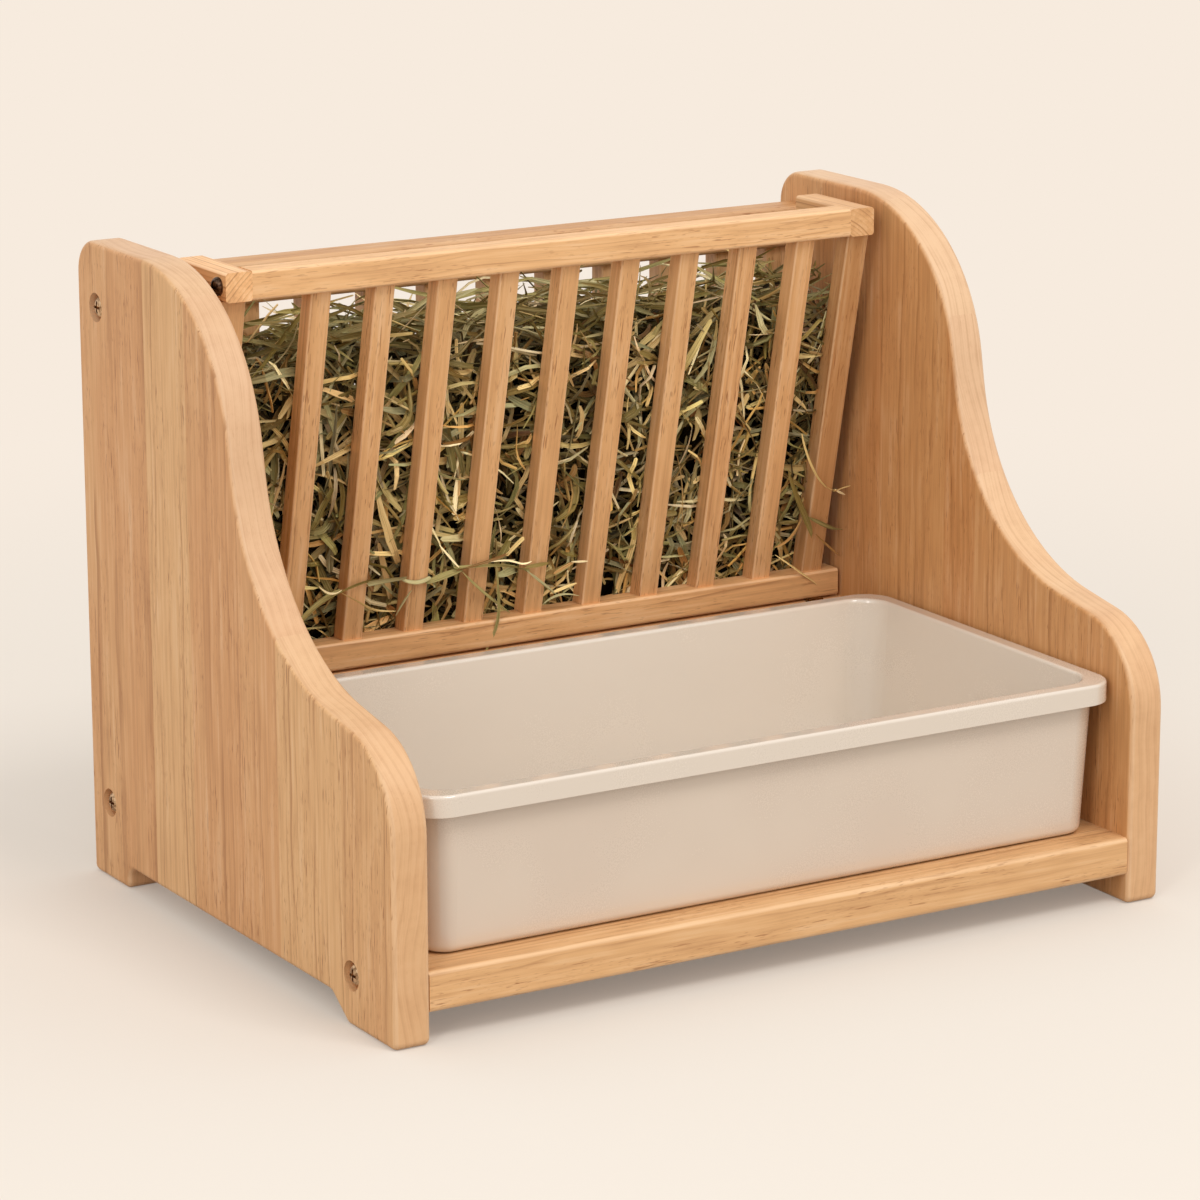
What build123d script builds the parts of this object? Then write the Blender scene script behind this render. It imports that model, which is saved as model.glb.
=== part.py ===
from build123d import *
import os
from math import atan2, cos, degrees, radians, sin

# Hay feeder box in pine, with a slatted hay rack that tilts forward for filling and a
# moulded tray that slides out to the front.  All sizes are in millimetres.
# +X is the right-hand side, +Y the back and +Z up.  The origin lies on the floor under
# the middle of the box.  Points given in pairs are (y, z) unless a comment says otherwise.

# ---------------------------------------------------------------- driving dimensions
# carcass
WIDTH = 400.0                 # over both side panels
DEPTH = 297.0                 # front edge to rear edge of a side panel
HEIGHT = 302.0                # floor to the flat top of a side panel
BOARD = 17.5                  # side panel thickness
PANEL_ARRIS = 2.6             # round-over along every edge of a side panel

# side panel outline, from the rear corner over the top and down to the nose
TOP_CORNER_R = 16.0
TOP_LENGTH = 68.7             # rear edge to the start of the shoulder
SHOULDER_R = 85.0
SHOULDER_TURN = 79.3          # degrees
STEEP_RUN = 13.7              # straight below the shoulder
LEDGE_SLOPE = 9.8             # degrees, the gentle fall towards the nose
LEDGE_RUN = 23.0
NOSE_R = 41.5

# feet, left by the low arch cut out of the bottom edge
ARCH_HEIGHT = 10.5
FRONT_FOOT_SOLE = 42.5
FRONT_FOOT_SPLAY = 15.0       # how far the front foot widens up to the arch
FRONT_ARCH_R = 8.0
REAR_FOOT = 37.5
REAR_ARCH_R = 6.0
FOOT_CORNER_R = 3.4

# cross rails at the bottom and the back
FLOOR_CLEARANCE = 13.8        # floor to the underside of the front and support rails
RAIL_THICK = 18.0
FRONT_RAIL_WIDTH = 74.0
FRONT_RAIL_SETBACK = 1.0
SUPPORT_RAIL_WIDTH = 25.0
SUPPORT_RAIL_INSET = 12.0     # tray rim rear edge to the rear edge of the support rail
RAIL_ARRIS = 2.4
HOUSING = 3.0                 # depth of the housings in the panels' inner faces
HOUSING_END_GAP = 0.3

BACK_INSET = 8.0              # panel rear edge to the rear face of the back frame
BACK_RAIL_DEPTH = 17.4
BACK_TOP_DROP = 15.1          # panel top to the top of the back top rail
BACK_TOP_RAIL_HEIGHT = 19.9
BACK_LOW_RAIL_Z = 28.5
BACK_LOW_RAIL_HEIGHT = 18.0
BACK_SLAT_DEPTH = 10.0

# hay rack
RACK_SETBACK = 59.5           # panel rear edge to the front of the rack's bottom rail
RACK_REACH = 38.8             # how far the top rail stands forward of the bottom rail
RACK_FOOT_Z = 96.2            # underside of the bottom rail
RACK_TOP_DROP = 5.0           # panel top to the top of the rack
RACK_RAIL_DEPTH = 14.0
RACK_RAIL_HEIGHT = 13.4
RACK_SIDE_GAP = 2.0           # bottom rail end to the panel
RACK_ARRIS = 1.6
ARM_WIDTH = 13.3
ARM_LENGTH = 47.8
ARM_SIDE_GAP = 9.7            # arm to the panel
SLAT_COUNT = 9
SLAT_FIRST_GAP = 32.5         # left post to the first slat
SLAT_LAST_GAP = 18.7          # last slat to the right post
SLAT_WIDTH = 10.4
SLAT_DEPTH = 9.6
SLAT_INSET_HIGH = 4.0         # top rail front to the slat front
SLAT_INSET_LOW = 3.0          # bottom rail front to the slat front
SLAT_ARRIS = 1.0
POST_WIDTH = 12.0
TENON_WIDTH = 6.0
TENON_DEPTH = 5.0
TENON_LENGTH = 5.0

# sill under the rack, which is also the floor of the hay space
SILL_GAP = 1.2                # sill to the rack's bottom rail
SILL_THICK = 15.0
SILL_REAR_GAP = 0.4

# small brass hinges between the sill and the rack's bottom rail
HINGE_LENGTH = 8.0
HINGE_INSET = 15.8            # panel inner face to the middle of the hinge
HINGE_BARREL = 3.8            # outer diameter
HINGE_PIN = 1.5
HINGE_FIT = 0.05              # radial running clearance on the pin
HINGE_LEAF = 0.9
HINGE_MOVING_LEAF = 11.0
HINGE_FIXED_LEAF = 9.0
HINGE_KNUCKLE_GAP = 0.2
HINGE_MIDDLE_KNUCKLE = 2.8
HINGE_AXIS_BEHIND = 0.2       # rack front face to the pin
HINGE_AXIS_BELOW = 3.0        # rack underside to the pin
HINGE_BARREL_GAP = 0.3        # barrel to the back of its notch
HINGE_NOTCH_SIDE = 1.2        # air beside the hinge in its notch
HINGE_NOTCH_DROP = 1.0        # air under the fixed leaf
PIN_HEAD = 2.4
PIN_HEAD_THICK = 0.4

# carcass screws, sunk in counterbores
SCREW_BORE = 13.5
SCREW_BORE_DEPTH = 3.4
SCREW_HEAD = 11.0
SCREW_HEAD_HEIGHT = 2.6
SCREW_SHANK = 4.0
SCREW_LENGTH = 40.0           # under the head
SCREW_HOLE_GAP = 0.1          # radial, around the shank
SCREW_REAR_INSET = 19.5       # panel rear edge to the rear screws
TOP_SCREW_RISE = 5.0          # back top rail underside to the screw
CROSS_WIDTH = 1.3             # driver recess
CROSS_SPAN = 5.6
CROSS_DEPTH = 1.7

# screws that hold the arms to the rack's top rail, with heads standing proud
ARM_SCREW_HEAD = 8.4
ARM_SCREW_HEAD_HEIGHT = 3.0
ARM_SCREW_SHANK = 3.4
ARM_SCREW_LENGTH = 28.0

# tray
TRAY_SIDE_GAP = 1.3           # rim to the panel
TRAY_SETBACK = 7.5            # panel front edge to the rim
TRAY_REAR_GAP = 32.0          # rim to the front of the sill
TRAY_LIFT = 0.3               # tray to the rails under it
TRAY_HEIGHT = 72.9
TRAY_FLOOR = 2.6
RIM_SKIRT = 9.5
RIM_THICK = 2.0
RIM_CORNER_R = 16.0
RIM_WIDTH = 8.5               # rim edge to the inside of the wall at the top
RIM_ARRIS = 1.4
RIM_INNER_ARRIS = 1.8
WALL_OVERHANG = 5.0           # rim edge to the outside of the wall under the rim
WALL_DRAFT_IN = 4.2           # how far the wall leans in on its way down
WALL_THICK = 2.5              # at the floor
WALL_CORNER_R = 11.0          # at the foot
TRAY_FOOT_R = 4.0
TRAY_INNER_R = 10.0
TRAY_INNER_CORNER_R = 12.0    # at the floor

# hay
HAY_GAP = 1.0
HAY_TOP_DROP = 33.0           # rack top to the hay
HAY_SIDE_GAP = 10.5

# ---------------------------------------------------------------- derived places
FRONT = -DEPTH / 2
REAR = DEPTH / 2
INNER = WIDTH / 2 - BOARD     # x of a panel's inner face
RAIL_TOP = FLOOR_CLEARANCE + RAIL_THICK

RACK_FRONT = REAR - RACK_SETBACK
RACK_TOP_FRONT = RACK_FRONT - RACK_REACH
RACK_TOP = HEIGHT - RACK_TOP_DROP
TOP_RAIL_Z = RACK_TOP - RACK_RAIL_HEIGHT
LOW_RAIL_TOP = RACK_FOOT_Z + RACK_RAIL_HEIGHT
ARM_OUTER = INNER - ARM_SIDE_GAP
ARM_INNER = ARM_OUTER - ARM_WIDTH
POST_INNER = ARM_OUTER - POST_WIDTH
SLAT_FOOT = (RACK_FRONT + SLAT_INSET_LOW, LOW_RAIL_TOP)
SLAT_HEAD = (RACK_TOP_FRONT + SLAT_INSET_HIGH, TOP_RAIL_Z)

BACK_REAR = REAR - BACK_INSET
BACK_FRONT = BACK_REAR - BACK_RAIL_DEPTH
BACK_TOP = HEIGHT - BACK_TOP_DROP
BACK_TOP_RAIL_Z = BACK_TOP - BACK_TOP_RAIL_HEIGHT
BACK_LOW_RAIL_TOP = BACK_LOW_RAIL_Z + BACK_LOW_RAIL_HEIGHT
BACK_SLAT_FRONT = BACK_FRONT + (BACK_RAIL_DEPTH - BACK_SLAT_DEPTH) / 2

SILL_TOP = RACK_FOOT_Z - SILL_GAP
SILL_REAR = BACK_SLAT_FRONT - SILL_REAR_GAP

HINGE_Y = RACK_FRONT + HINGE_AXIS_BEHIND
HINGE_Z = RACK_FOOT_Z - HINGE_AXIS_BELOW
HINGE_X = INNER - HINGE_INSET
HINGE_NOTCH_REAR = HINGE_Y + HINGE_BARREL / 2 + HINGE_BARREL_GAP

TRAY_HALF = INNER - TRAY_SIDE_GAP
TRAY_FRONT = FRONT + TRAY_SETBACK
TRAY_REAR = RACK_FRONT - TRAY_REAR_GAP
TRAY_Z = RAIL_TOP + TRAY_LIFT
TRAY_TOP = TRAY_Z + TRAY_HEIGHT

FRONT_RAIL_FRONT = FRONT + FRONT_RAIL_SETBACK
FRONT_RAIL_REAR = FRONT_RAIL_FRONT + FRONT_RAIL_WIDTH
SUPPORT_RAIL_REAR = TRAY_REAR - SUPPORT_RAIL_INSET

SCREW_SPOTS = [
    ((FRONT_RAIL_FRONT + FRONT_RAIL_REAR) / 2, FLOOR_CLEARANCE + RAIL_THICK / 2),
    (REAR - SCREW_REAR_INSET, BACK_LOW_RAIL_Z + BACK_LOW_RAIL_HEIGHT / 2),
    (REAR - SCREW_REAR_INSET, BACK_TOP_RAIL_Z + TOP_SCREW_RISE),
]


# ---------------------------------------------------------------- shared shapes
def block(x_range, y_range, z_range):
    """Plain block between three (low, high) ranges."""
    size = [high - low for low, high in (x_range, y_range, z_range)]
    centre = [(high + low) / 2 for low, high in (x_range, y_range, z_range)]
    return Pos(*centre) * Box(*size)


def eased(solid, radius, axis=Axis.X):
    """Round the long edges of a board that runs along the axis."""
    return fillet(solid.edges().filter_by(axis), radius)


def prism(x_range, outline):
    """Solid along X with a closed outline of (y, z) points."""
    face = Plane.YZ.offset(x_range[0]) * make_face(Polyline(*outline, close=True))
    return extrude(face, amount=x_range[1] - x_range[0])


def rod(diameter, x_range, y, z):
    """Round rod along X."""
    length = x_range[1] - x_range[0]
    middle = (x_range[0] + x_range[1]) / 2
    return Pos(middle, y, z) * Rot(0, 90, 0) * Cylinder(diameter / 2, length)


def mirrored(solid):
    """The same piece on the other side of the box."""
    return mirror(solid, about=Plane.YZ)


def bar_outline(foot, head, depth, inset=0.0, low=0.0, high=0.0):
    """Outline of a leaning bar with level ends.

    foot and head are on its front face.  inset narrows it from both faces, and low and
    high carry it on beyond its ends along the same lean.
    """
    (foot_y, foot_z), (head_y, head_z) = foot, head
    slope = (head_y - foot_y) / (head_z - foot_z)
    level_depth = depth * (1 + slope ** 2) ** 0.5

    def face_y(z):
        return foot_y + slope * (z - foot_z)

    bottom, top = foot_z - low, head_z + high
    return [
        (face_y(bottom) + inset, bottom),
        (face_y(bottom) + level_depth - inset, bottom),
        (face_y(top) + level_depth - inset, top),
        (face_y(top) + inset, top),
    ]


def tenon_core(x_mid, foot, head, depth):
    """The bar's narrow core, which runs on as a stub tenon at both ends."""
    inset = (depth - TENON_DEPTH) / 2
    outline = bar_outline(foot, head, depth, inset, TENON_LENGTH, TENON_LENGTH)
    return prism((x_mid - TENON_WIDTH / 2, x_mid + TENON_WIDTH / 2), outline)


def tenoned_bar(x_mid, width, foot, head, depth):
    """Slat with rounded long edges and a stub tenon at each end."""
    bar = prism((x_mid - width / 2, x_mid + width / 2), bar_outline(foot, head, depth))
    bar = fillet(bar.edges().sort_by(SortBy.LENGTH)[-4:], SLAT_ARRIS)
    return bar + tenon_core(x_mid, foot, head, depth)


def slat_positions():
    """x of each slat's middle, left to right, evenly spaced between the two end gaps."""
    first = -POST_INNER + SLAT_FIRST_GAP + SLAT_WIDTH / 2
    last = POST_INNER - SLAT_LAST_GAP - SLAT_WIDTH / 2
    pitch = (last - first) / (SLAT_COUNT - 1)
    return [first + pitch * index for index in range(SLAT_COUNT)]


def post_positions():
    """x of the middle of the left and right end posts."""
    middle = ARM_OUTER - POST_WIDTH / 2
    return [-middle, middle]


# ---------------------------------------------------------------- side panels
def panel_outline():
    """Closed outline of a side panel, with y across and z up.

    The shoulder, sweep and nose are tangent arcs.  The sweep's radius takes up whatever
    the shoulder, the straights and the nose leave of the depth.
    """
    shoulder = radians(SHOULDER_TURN)
    ledge = radians(LEDGE_SLOPE)
    used = TOP_LENGTH + SHOULDER_R * sin(shoulder) + STEEP_RUN * cos(shoulder)
    used += LEDGE_RUN * cos(ledge) + NOSE_R * (1 - sin(ledge))
    sweep_r = (DEPTH - used) / (sin(shoulder) - sin(ledge))
    steep = (-cos(shoulder), -sin(shoulder))
    gentle = (-cos(ledge), -sin(ledge))

    def onward(start, direction, run):
        return Line(start, (start.X + run * direction[0], start.Y + run * direction[1]))

    over = JernArc((REAR - TOP_LENGTH, HEIGHT), (-1, 0), SHOULDER_R, SHOULDER_TURN)
    steep_line = onward(over @ 1, steep, STEEP_RUN)
    sweep = JernArc(steep_line @ 1, steep, sweep_r, LEDGE_SLOPE - SHOULDER_TURN)
    ledge_line = onward(sweep @ 1, gentle, LEDGE_RUN)
    nose = JernArc(ledge_line @ 1, gentle, NOSE_R, 90 - LEDGE_SLOPE)
    nose_end = nose @ 1
    rear_arch_r = min(REAR_ARCH_R, 0.95 * (ARCH_HEIGHT - FOOT_CORNER_R))
    base = FilletPolyline(
        (FRONT, nose_end.Y),
        (FRONT, 0),
        (FRONT + FRONT_FOOT_SOLE, 0),
        (FRONT + FRONT_FOOT_SOLE + FRONT_FOOT_SPLAY, ARCH_HEIGHT),
        (REAR - REAR_FOOT, ARCH_HEIGHT),
        (REAR - REAR_FOOT, 0),
        (REAR, 0),
        (REAR, HEIGHT),
        (REAR - TOP_LENGTH, HEIGHT),
        radius=[FOOT_CORNER_R, FOOT_CORNER_R, FRONT_ARCH_R, rear_arch_r,
                FOOT_CORNER_R, FOOT_CORNER_R, TOP_CORNER_R],
    )
    return make_face([over, steep_line, sweep, ledge_line, nose, base])


def right_panel():
    """Right side panel with its housings, counterbores and screw holes."""
    panel = extrude(Plane.YZ.offset(INNER) * panel_outline(), amount=BOARD)
    rims = panel.faces().filter_by(Axis.X).edges()
    panel = fillet(rims, PANEL_ARRIS)
    housing_x = (INNER - 1, INNER + HOUSING)
    panel -= block(housing_x, (RACK_FRONT, SILL_REAR), (SILL_TOP - SILL_THICK, SILL_TOP))
    panel -= block(housing_x, (SUPPORT_RAIL_REAR - SUPPORT_RAIL_WIDTH, SUPPORT_RAIL_REAR),
                   (FLOOR_CLEARANCE, RAIL_TOP))
    outside = WIDTH / 2
    for y, z in SCREW_SPOTS:
        panel -= rod(SCREW_BORE, (outside - SCREW_BORE_DEPTH, outside + 1), y, z)
        panel -= rod(SCREW_SHANK + 2 * SCREW_HOLE_GAP, (INNER - 1, outside), y, z)
    return panel


# ---------------------------------------------------------------- screws
def driver_cross(depth):
    """Cross-shaped driver recess, cut down from z = 0."""
    arm = Box(CROSS_SPAN, CROSS_WIDTH, 2 * depth)
    return arm + Rot(0, 0, 90) * arm


def domed_screw(head, head_height, shank, length):
    """Screw along Z with its head's top at z = head_height and its tip at z = -length."""
    half = head / 2
    tip = shank
    profile = make_face([
        Polyline((0, head_height), (0, -length), (shank / 2, -length + tip),
                 (shank / 2, 0), (half, 0), (half, head_height * 0.35)),
        ThreePointArc((half, head_height * 0.35), (half * 0.72, head_height * 0.86),
                      (0, head_height)),
    ])
    screw = revolve(Plane.XZ * profile, Axis.Z)
    return screw - Pos(0, 0, head_height) * driver_cross(CROSS_DEPTH)


def right_screws():
    """Three carcass screws in the right panel."""
    seat = WIDTH / 2 - SCREW_BORE_DEPTH
    screw = Rot(0, 90, 0) * domed_screw(SCREW_HEAD, SCREW_HEAD_HEIGHT, SCREW_SHANK, SCREW_LENGTH)
    return Compound([Pos(seat, y, z) * screw for y, z in SCREW_SPOTS])


def with_screw_holes(rail, spots):
    """Drill the carcass screws' holes into a rail, or into a post whose tenon they pin."""
    reach = SCREW_LENGTH - (BOARD - SCREW_BORE_DEPTH)
    for y, z in spots:
        hole = rod(SCREW_SHANK + 2 * SCREW_HOLE_GAP, (INNER - reach, INNER + 1), y, z)
        rail -= hole
        rail -= mirrored(hole)
    return rail


# ---------------------------------------------------------------- carcass rails
def front_rail():
    """Flat board that ties the panels at the front and carries the tray."""
    rail = block((-INNER, INNER), (FRONT_RAIL_FRONT, FRONT_RAIL_REAR), (FLOOR_CLEARANCE, RAIL_TOP))
    return with_screw_holes(eased(rail, RAIL_ARRIS), SCREW_SPOTS[:1])


def tray_support_rail():
    """Narrow board under the tray's rear, let into both panels."""
    end = INNER + HOUSING - HOUSING_END_GAP
    y_range = (SUPPORT_RAIL_REAR - SUPPORT_RAIL_WIDTH, SUPPORT_RAIL_REAR)
    return block((-end, end), y_range, (FLOOR_CLEARANCE, RAIL_TOP))


def uprights():
    """(name, x, width) of each upright in the back frame and in the rack."""
    bars = [(f"slat_{index + 1}", x, SLAT_WIDTH) for index, x in enumerate(slat_positions())]
    left, right = post_positions()
    return bars + [("post_left", left, POST_WIDTH), ("post_right", right, POST_WIDTH)]


BACK_FOOT_POINT = (BACK_SLAT_FRONT, BACK_LOW_RAIL_TOP)
BACK_HEAD_POINT = (BACK_SLAT_FRONT, BACK_TOP_RAIL_Z)


def mortised(rail, foot, head, depth):
    """Cut the mortises of every upright into a rail."""
    for _, x, _ in uprights():
        rail -= tenon_core(x, foot, head, depth)
    return rail


def back_rail(z_low, z_high, spot):
    """One rail of the back frame, mortised for the back slats."""
    rail = block((-INNER, INNER), (BACK_FRONT, BACK_REAR), (z_low, z_high))
    rail = mortised(eased(rail, RAIL_ARRIS), BACK_FOOT_POINT, BACK_HEAD_POINT, BACK_SLAT_DEPTH)
    return with_screw_holes(rail, [spot])


def hinge_notch():
    """Air cut out of the sill's front edge around the right hinge."""
    half = HINGE_LENGTH / 2 + HINGE_NOTCH_SIDE
    bottom = HINGE_Z - HINGE_FIXED_LEAF - HINGE_NOTCH_DROP
    y_range = (RACK_FRONT - 1, HINGE_NOTCH_REAR)
    return block((HINGE_X - half, HINGE_X + half), y_range, (bottom, SILL_TOP + 1))


def rack_sill():
    """Board that carries the hinges and the hay, let into both panels."""
    end = INNER + HOUSING - HOUSING_END_GAP
    sill = block((-end, end), (RACK_FRONT, SILL_REAR), (SILL_TOP - SILL_THICK, SILL_TOP))
    notch = hinge_notch()
    return sill - notch - mirrored(notch)


# ---------------------------------------------------------------- rack
def rack_top_rail():
    """Top rail between the arms, with stopped mortises from below."""
    y_range = (RACK_TOP_FRONT, RACK_TOP_FRONT + RACK_RAIL_DEPTH)
    rail = eased(block((-ARM_INNER, ARM_INNER), y_range, (TOP_RAIL_Z, RACK_TOP)), RACK_ARRIS)
    rail = mortised(rail, SLAT_FOOT, SLAT_HEAD, SLAT_DEPTH)
    hole = arm_screw_hole()
    return rail - hole - mirrored(hole)


def rack_bottom_rail():
    """Bottom rail, mortised from above."""
    end = INNER - RACK_SIDE_GAP
    y_range = (RACK_FRONT, RACK_FRONT + RACK_RAIL_DEPTH)
    rail = eased(block((-end, end), y_range, (RACK_FOOT_Z, LOW_RAIL_TOP)), RACK_ARRIS)
    return mortised(rail, SLAT_FOOT, SLAT_HEAD, SLAT_DEPTH)


def rack_arm():
    """Right arm: a block at the top rail's end that runs back over the hay."""
    y_range = (RACK_TOP_FRONT, RACK_TOP_FRONT + ARM_LENGTH)
    arm = block((ARM_INNER, ARM_OUTER), y_range, (TOP_RAIL_Z, RACK_TOP))
    arm = eased(arm, RACK_ARRIS, Axis.Y)
    arm = mortised(arm, SLAT_FOOT, SLAT_HEAD, SLAT_DEPTH)
    return arm - arm_screw_hole()


def arm_screw_spot():
    """(y, z) of the screw, at the middle of the top rail's end."""
    return RACK_TOP_FRONT + RACK_RAIL_DEPTH / 2, (TOP_RAIL_Z + RACK_TOP) / 2


def arm_screw_hole():
    """Hole through the right arm into the top rail's end."""
    y, z = arm_screw_spot()
    diameter = ARM_SCREW_SHANK + 2 * SCREW_HOLE_GAP
    return rod(diameter, (ARM_OUTER - ARM_SCREW_LENGTH, ARM_OUTER + 1), y, z)


def arm_screw():
    """Proud domed screw in the right arm."""
    y, z = arm_screw_spot()
    screw = domed_screw(ARM_SCREW_HEAD, ARM_SCREW_HEAD_HEIGHT, ARM_SCREW_SHANK, ARM_SCREW_LENGTH)
    return Pos(ARM_OUTER, y, z) * Rot(0, 90, 0) * screw


# ---------------------------------------------------------------- hinges
def knuckle_ranges():
    """x ranges of the left, middle and right knuckles of the right hinge."""
    low, high = HINGE_X - HINGE_LENGTH / 2, HINGE_X + HINGE_LENGTH / 2
    middle = (HINGE_X - HINGE_MIDDLE_KNUCKLE / 2, HINGE_X + HINGE_MIDDLE_KNUCKLE / 2)
    left = (low, middle[0] - HINGE_KNUCKLE_GAP)
    right = (middle[1] + HINGE_KNUCKLE_GAP, high)
    return left, middle, right


def pin_bore():
    """Bore along the hinge, with the running clearance."""
    span = (HINGE_X - HINGE_LENGTH, HINGE_X + HINGE_LENGTH)
    return rod(HINGE_PIN + 2 * HINGE_FIT, span, HINGE_Y, HINGE_Z)


def fixed_leaf():
    """Right hinge's fixed leaf: an upright plate with the two outer knuckles."""
    span = (HINGE_X - HINGE_LENGTH / 2, HINGE_X + HINGE_LENGTH / 2)
    leaf = block(span, (HINGE_NOTCH_REAR - HINGE_LEAF, HINGE_NOTCH_REAR),
                 (HINGE_Z - HINGE_FIXED_LEAF, HINGE_Z))
    left, middle, right = knuckle_ranges()
    gap = (middle[0] - HINGE_KNUCKLE_GAP, middle[1] + HINGE_KNUCKLE_GAP)
    sweep = HINGE_BARREL / 2 + HINGE_KNUCKLE_GAP
    leaf -= rod(2 * sweep, gap, HINGE_Y, HINGE_Z)
    for knuckle in (left, right):
        leaf += rod(HINGE_BARREL, knuckle, HINGE_Y, HINGE_Z)
    return leaf - pin_bore()


def moving_leaf():
    """Right hinge's moving leaf: a flat plate bent down to the middle knuckle."""
    front = HINGE_Y - HINGE_BARREL / 2
    span = (HINGE_X - HINGE_LENGTH / 2, HINGE_X + HINGE_LENGTH / 2)
    low = RACK_FOOT_Z - HINGE_LEAF
    leaf = block(span, (front, front + HINGE_MOVING_LEAF), (low, RACK_FOOT_Z))
    middle = knuckle_ranges()[1]
    leaf += block(middle, (front, front + HINGE_LEAF), (HINGE_Z, RACK_FOOT_Z))
    leaf += rod(HINGE_BARREL, middle, HINGE_Y, HINGE_Z)
    return leaf - pin_bore()


def hinge_pin():
    """Right hinge's pin, with a small head at each end."""
    half = HINGE_LENGTH / 2
    pin = rod(HINGE_PIN, (HINGE_X - half, HINGE_X + half), HINGE_Y, HINGE_Z)
    for side in (-1, 1):
        ends = sorted((HINGE_X + side * half, HINGE_X + side * (half + PIN_HEAD_THICK)))
        pin += rod(PIN_HEAD, ends, HINGE_Y, HINGE_Z)
    return pin


# ---------------------------------------------------------------- tray
def tray_section(inset, z, radius):
    """Rounded rectangle at height z, set in from the rim's outline."""
    middle = (TRAY_FRONT + TRAY_REAR) / 2
    width = 2 * (TRAY_HALF - inset)
    depth = TRAY_REAR - TRAY_FRONT - 2 * inset
    return Pos(0, middle, z) * RectangleRounded(width, depth, radius)


def tray():
    """Moulded tray: drafted thin walls and a rim with a hanging skirt."""
    shell_height = TRAY_HEIGHT - RIM_THICK
    foot_inset = WALL_OVERHANG + WALL_DRAFT_IN
    shell = extrude(tray_section(foot_inset, TRAY_Z, WALL_CORNER_R), amount=shell_height,
                    taper=-degrees(atan2(WALL_DRAFT_IN, shell_height)))
    shell = fillet(shell.faces().sort_by(Axis.Z)[0].edges(), TRAY_FOOT_R)

    skirt_z = TRAY_TOP - RIM_SKIRT
    rim = extrude(tray_section(0, skirt_z, RIM_CORNER_R), amount=RIM_SKIRT)
    rim = fillet(rim.faces().sort_by(Axis.Z)[-1].edges(), RIM_ARRIS)
    rim -= extrude(tray_section(RIM_THICK, skirt_z, RIM_CORNER_R - RIM_THICK),
                   amount=RIM_SKIRT - RIM_THICK)

    cavity_height = TRAY_HEIGHT - TRAY_FLOOR
    cavity_draft = foot_inset + WALL_THICK - RIM_WIDTH
    cavity = extrude(tray_section(foot_inset + WALL_THICK, TRAY_Z + TRAY_FLOOR, TRAY_INNER_CORNER_R),
                     amount=cavity_height, taper=-degrees(atan2(cavity_draft, cavity_height)))
    cavity = fillet(cavity.faces().sort_by(Axis.Z)[0].edges(), TRAY_INNER_R)
    moulding = shell + rim - cavity
    mouth = moulding.edges().filter_by_position(Axis.Z, TRAY_TOP - 0.01, TRAY_TOP + 0.01)
    inner = [edge for edge in mouth if abs(edge.center().X) < TRAY_HALF - RIM_WIDTH + 1
             and TRAY_FRONT + RIM_WIDTH - 1 < edge.center().Y < TRAY_REAR - RIM_WIDTH + 1]
    return fillet(inner, RIM_INNER_ARRIS)


# ---------------------------------------------------------------- hay
def hay_fill():
    """Hay between the leaning rack and the upright back."""
    run = SLAT_HEAD[0] - SLAT_FOOT[0]
    slope = run / (SLAT_HEAD[1] - SLAT_FOOT[1])
    level_depth = SLAT_DEPTH * (1 + slope ** 2) ** 0.5
    top = RACK_TOP - HAY_TOP_DROP

    def face_y(z):
        return SLAT_FOOT[0] + slope * (z - SLAT_FOOT[1]) + level_depth + HAY_GAP

    floor = SILL_TOP + HAY_GAP
    rail_rear = RACK_FRONT + RACK_RAIL_DEPTH + HAY_GAP
    shoulder = LOW_RAIL_TOP + HAY_GAP
    back = BACK_SLAT_FRONT - HAY_GAP
    half = INNER - HAY_SIDE_GAP
    outline = [(rail_rear, floor), (back, floor), (back, top), (face_y(top), top),
               (face_y(shoulder), shoulder), (rail_rear, shoulder)]
    return prism((-half, half), outline)


# ---------------------------------------------------------------- nodes
def build_nodes():
    """Every piece by name."""
    panel, screws = right_panel(), right_screws()
    arm, screw = rack_arm(), arm_screw()
    nodes = {
        "right_panel": panel,
        "left_panel": mirrored(panel),
        "right_panel_screws": screws,
        "left_panel_screws": mirrored(screws),
        "front_rail": front_rail(),
        "tray_support_rail": tray_support_rail(),
        "back_bottom_rail": back_rail(BACK_LOW_RAIL_Z, BACK_LOW_RAIL_TOP, SCREW_SPOTS[1]),
        "back_top_rail": back_rail(BACK_TOP_RAIL_Z, BACK_TOP, SCREW_SPOTS[2]),
        "rack_sill": rack_sill(),
        "rack_top_rail": rack_top_rail(),
        "rack_bottom_rail": rack_bottom_rail(),
        "rack_arm_right": arm,
        "rack_arm_left": mirrored(arm),
        "arm_screws": Compound([screw, mirrored(screw)]),
        "tray": tray(),
        "hay_fill": hay_fill(),
    }
    for name, x, width in uprights():
        bar = tenoned_bar(x, width, BACK_FOOT_POINT, BACK_HEAD_POINT, BACK_SLAT_DEPTH)
        nodes[f"back_{name}"] = with_screw_holes(bar, [SCREW_SPOTS[2]])
        nodes[f"rack_{name}"] = tenoned_bar(x, width, SLAT_FOOT, SLAT_HEAD, SLAT_DEPTH)
    for name, piece in (("fixed_leaf", fixed_leaf()), ("moving_leaf", moving_leaf()),
                        ("pin", hinge_pin())):
        nodes[f"hinge_{name}_right"] = piece
        nodes[f"hinge_{name}_left"] = mirrored(piece)
    return nodes


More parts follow.
